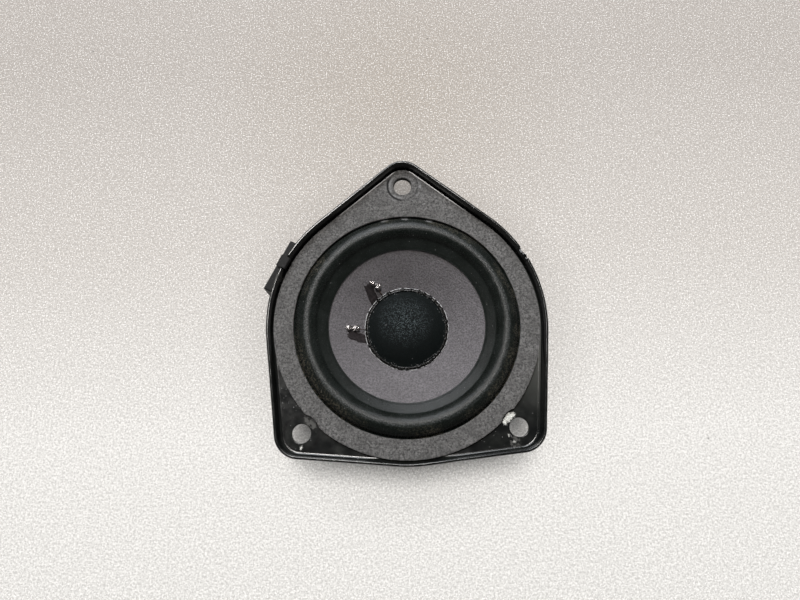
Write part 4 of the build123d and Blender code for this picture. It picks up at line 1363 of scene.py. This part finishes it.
def leadout_wire(name, angle, turn, length, material):
    """Fine coil wire, bent by hand, from the solder over the cone to the glue ring."""
    heading, across, normal = cone_axes(angle, turn)
    base = np.array((*polar(LEAD_R, angle), cone_z(LEAD_R)))
    end = np.array((*polar(BEAD_OUTER_R - 0.1, angle), cone_z(BEAD_OUTER_R) + 0.2))
    start = base - heading * length * 0.3 + normal * 0.5
    middle = (start + end) / 2 + normal * 0.45 + across * 0.35
    tail = base + heading * length * 0.52 + normal * 0.35
    skin = Skin()
    add_tube(skin, curve_line([tail, base + normal * 0.6, start, middle, end]), 0.12)
    wire = skin.build("coil_wire_" + name, material)
    fit(wire, "diaphragm", "coil_copper", "leadout_wire_" + name)


def lacquer_patch(name, angle, seed, material):
    """Film of lacquer on the cone beside a lead, with a brushed, uneven outline."""
    across = np.linspace(-1, 1, 40)
    along = np.linspace(-1, 1, 56)
    v, u = np.meshgrid(across, along)
    edge = 1 / np.maximum(1, (np.abs(u) ** 6 + np.abs(v) ** 6) ** (1 / 6))
    flat = np.stack([u, v, 0 * u], axis=-1)
    wander = 1 + 0.22 * ripple(flat * 3, 1.0, seed)
    radius = 15.0 + 2.6 * u * edge * wander
    turn = np.radians(angle + 10.0 - 3.8 * u + (5.6 - 1.0 * u) * v * edge * wander)
    thick = 0.02 + 0.1 * (1 - np.abs(u) ** 4) * (1 - np.abs(v) ** 4) * (1 + 0.5 * ripple(flat * 3, 0.7, seed + 1))
    top = np.stack([radius * np.cos(turn), radius * np.sin(turn), cone_z(radius) + thick], axis=-1)
    bottom = top.copy()
    bottom[..., 2] = cone_z(radius) - 0.06
    skin = Skin()
    skin.grid(top)
    skin.grid(bottom)
    for rows in (np.s_[0, :], np.s_[-1, :], np.s_[:, 0], np.s_[:, -1]):
        skin.grid(np.stack([top[rows], bottom[rows]]))
    film = skin.build("lacquer_" + name, material)
    fit(film, "diaphragm", "lacquer_brown", "lacquer_patch_" + name)


# ---------------------------------------------------------------- CAD pieces that stay


def dress(node, material, bevel=0.0):
    """A CAD node keeps its shape and takes a material, with its sharp edges eased."""
    piece = frame["nodes"][node]
    for held in piece.material_slots:
        held.material = material
    if bevel:
        edge = piece.modifiers.new("edge", "BEVEL")
        edge.width = bevel * MM
        edge.segments = 2
        edge.limit_method = "ANGLE"
        edge.angle_limit = math.radians(40)


# ---------------------------------------------------------------- studio

def soft_light(name, place, size, power, colour):
    """Round area light aimed at the driver."""
    light = bpy.data.lights.new(name, "AREA")
    light.shape = "DISK"
    light.size = size
    light.energy = power
    light.color = colour
    lamp = bpy.data.objects.new(name, light)
    lamp.location = place
    lamp.rotation_euler = (-place).to_track_quat("-Z", "Y").to_euler()
    bpy.context.scene.collection.objects.link(lamp)
    return lamp


def studio():
    """Pale floor with its own overhead light, a lamp and a window for the driver, and dim walls."""
    corners = [(x * FLOOR_REACH, y * FLOOR_REACH, 0) for x, y in ((-1, -1), (1, -1), (1, 1), (-1, 1))]
    floor_mesh = bpy.data.meshes.new("floor")
    floor_mesh.from_pydata(corners, [], [(0, 1, 2, 3)])
    floor_mesh.materials.append(floor_board())
    floor = bpy.data.objects.new("floor", floor_mesh)
    bpy.context.scene.collection.objects.link(floor)

    ceiling = soft_light("ceiling", CEILING_PLACE, CEILING_SIZE, CEILING_POWER, WARM)
    lamp = soft_light("lamp", LAMP_PLACE, LAMP_SIZE, LAMP_POWER, WARM)
    window = soft_light("window", WINDOW_PLACE, WINDOW_SIZE, WINDOW_POWER, COOL)
    for light, state in ((ceiling, "INCLUDE"), (lamp, "EXCLUDE"), (window, "EXCLUDE")):
        lit = bpy.data.collections.new(light.name + "_lit")
        lit.objects.link(floor)
        lit.collection_objects[0].light_linking.link_state = state
        light.light_linking.receiver_collection = lit

    world = bpy.data.worlds.new("sky")
    world.use_nodes = True
    nodes, links = world.node_tree.nodes, world.node_tree.links
    direction = nodes.new("ShaderNodeTexCoord").outputs["Generated"]
    height = nodes.new("ShaderNodeSeparateXYZ")
    fade = nodes.new("ShaderNodeMapRange")
    links.new(direction, height.inputs[0])
    links.new(height.outputs["Z"], fade.inputs["Value"])
    fade.inputs["From Max"].default_value = 0.7
    fade.inputs["To Min"].default_value = SKY_LOW
    fade.inputs["To Max"].default_value = SKY_HIGH
    links.new(fade.outputs[0], nodes["Background"].inputs["Strength"])
    nodes["Background"].inputs["Color"].default_value = rgb(1.0, 0.98, 0.95)
    bpy.context.scene.world = world
    bpy.context.scene.view_settings.view_transform = "Standard"

    camera = bpy.data.cameras.new("camera")
    camera.sensor_width = 36
    camera.lens = CAMERA_LENS
    camera.clip_start = 0.005
    eye = bpy.data.objects.new("camera", camera)
    eye.location = CAMERA_PLACE
    eye.rotation_euler = (CAMERA_TARGET - CAMERA_PLACE).to_track_quat("-Z", "Y").to_euler()
    bpy.context.scene.collection.objects.link(eye)
    bpy.context.scene.camera = eye


def build_driver():
    paint = frame_paint()
    amber = glue("amber_glue", rgb(0.16, 0.06, 0.012), rgb(0.36, 0.17, 0.04), 0.1, 0.3)
    steel = turned_steel("plate_steel", (0.56, 0.56, 0.54))
    copper = wound_copper()
    wire = bright_metal("wire_enamel", (0.3, 0.2, 0.15), 0.2, 0.4, 0.5)
    tin = bright_metal("pin_tin", (0.74, 0.72, 0.66), 0.22, 0.4, 0.7)
    solder = bright_metal("solder_tin", (0.62, 0.58, 0.56), 0.14, 0.32, 0.35)
    braid = tinsel_braid()
    lacquer = lacquer_brown()

    basket_frame(paint)
    front_gasket(gasket_fibre())
    surround(surround_rubber())
    cone(cone_paper())
    dust_cap(cap_felt())
    dust_cap_bead(black_glue())
    spider(spider_cloth())
    for name, side in (("upper", -1), ("lower", 1)):
        joint = SOLDER[name]
        tinsel_lead(name, side, braid)
        solder_joint(name, **joint, material=solder)
        leadout_wire(name, joint["angle"], joint["turn"], joint["length"], wire)
        lacquer_patch(name, joint["angle"], joint["seed"], lacquer)
        dress("terminal_pin_" + name, tin)
    dress("pole_yoke", steel)
    dress("top_plate", steel)
    dress("magnet_ring", ferrite())
    dress("frame_stakes", bright_metal("stake_steel", (0.6, 0.6, 0.57), 0.25, 0.45, 0.6))
    dress("connector_rivets", bright_metal("rivet_aluminium", (0.8, 0.8, 0.8), 0.25, 0.42, 0.75))
    dress("connector_housing", moulded_nylon(), 0.12)
    film = bright_metal("former_film", (0.5, 0.28, 0.1), 0.3, 0.5, 0.7)
    dress("voice_coil_former", film)
    dress("voice_coil_winding", copper)
    for node in ("neck_bead", "spider_collar_bead", "spider_edge_bead"):
        dress(node, amber)


build_driver()
studio()
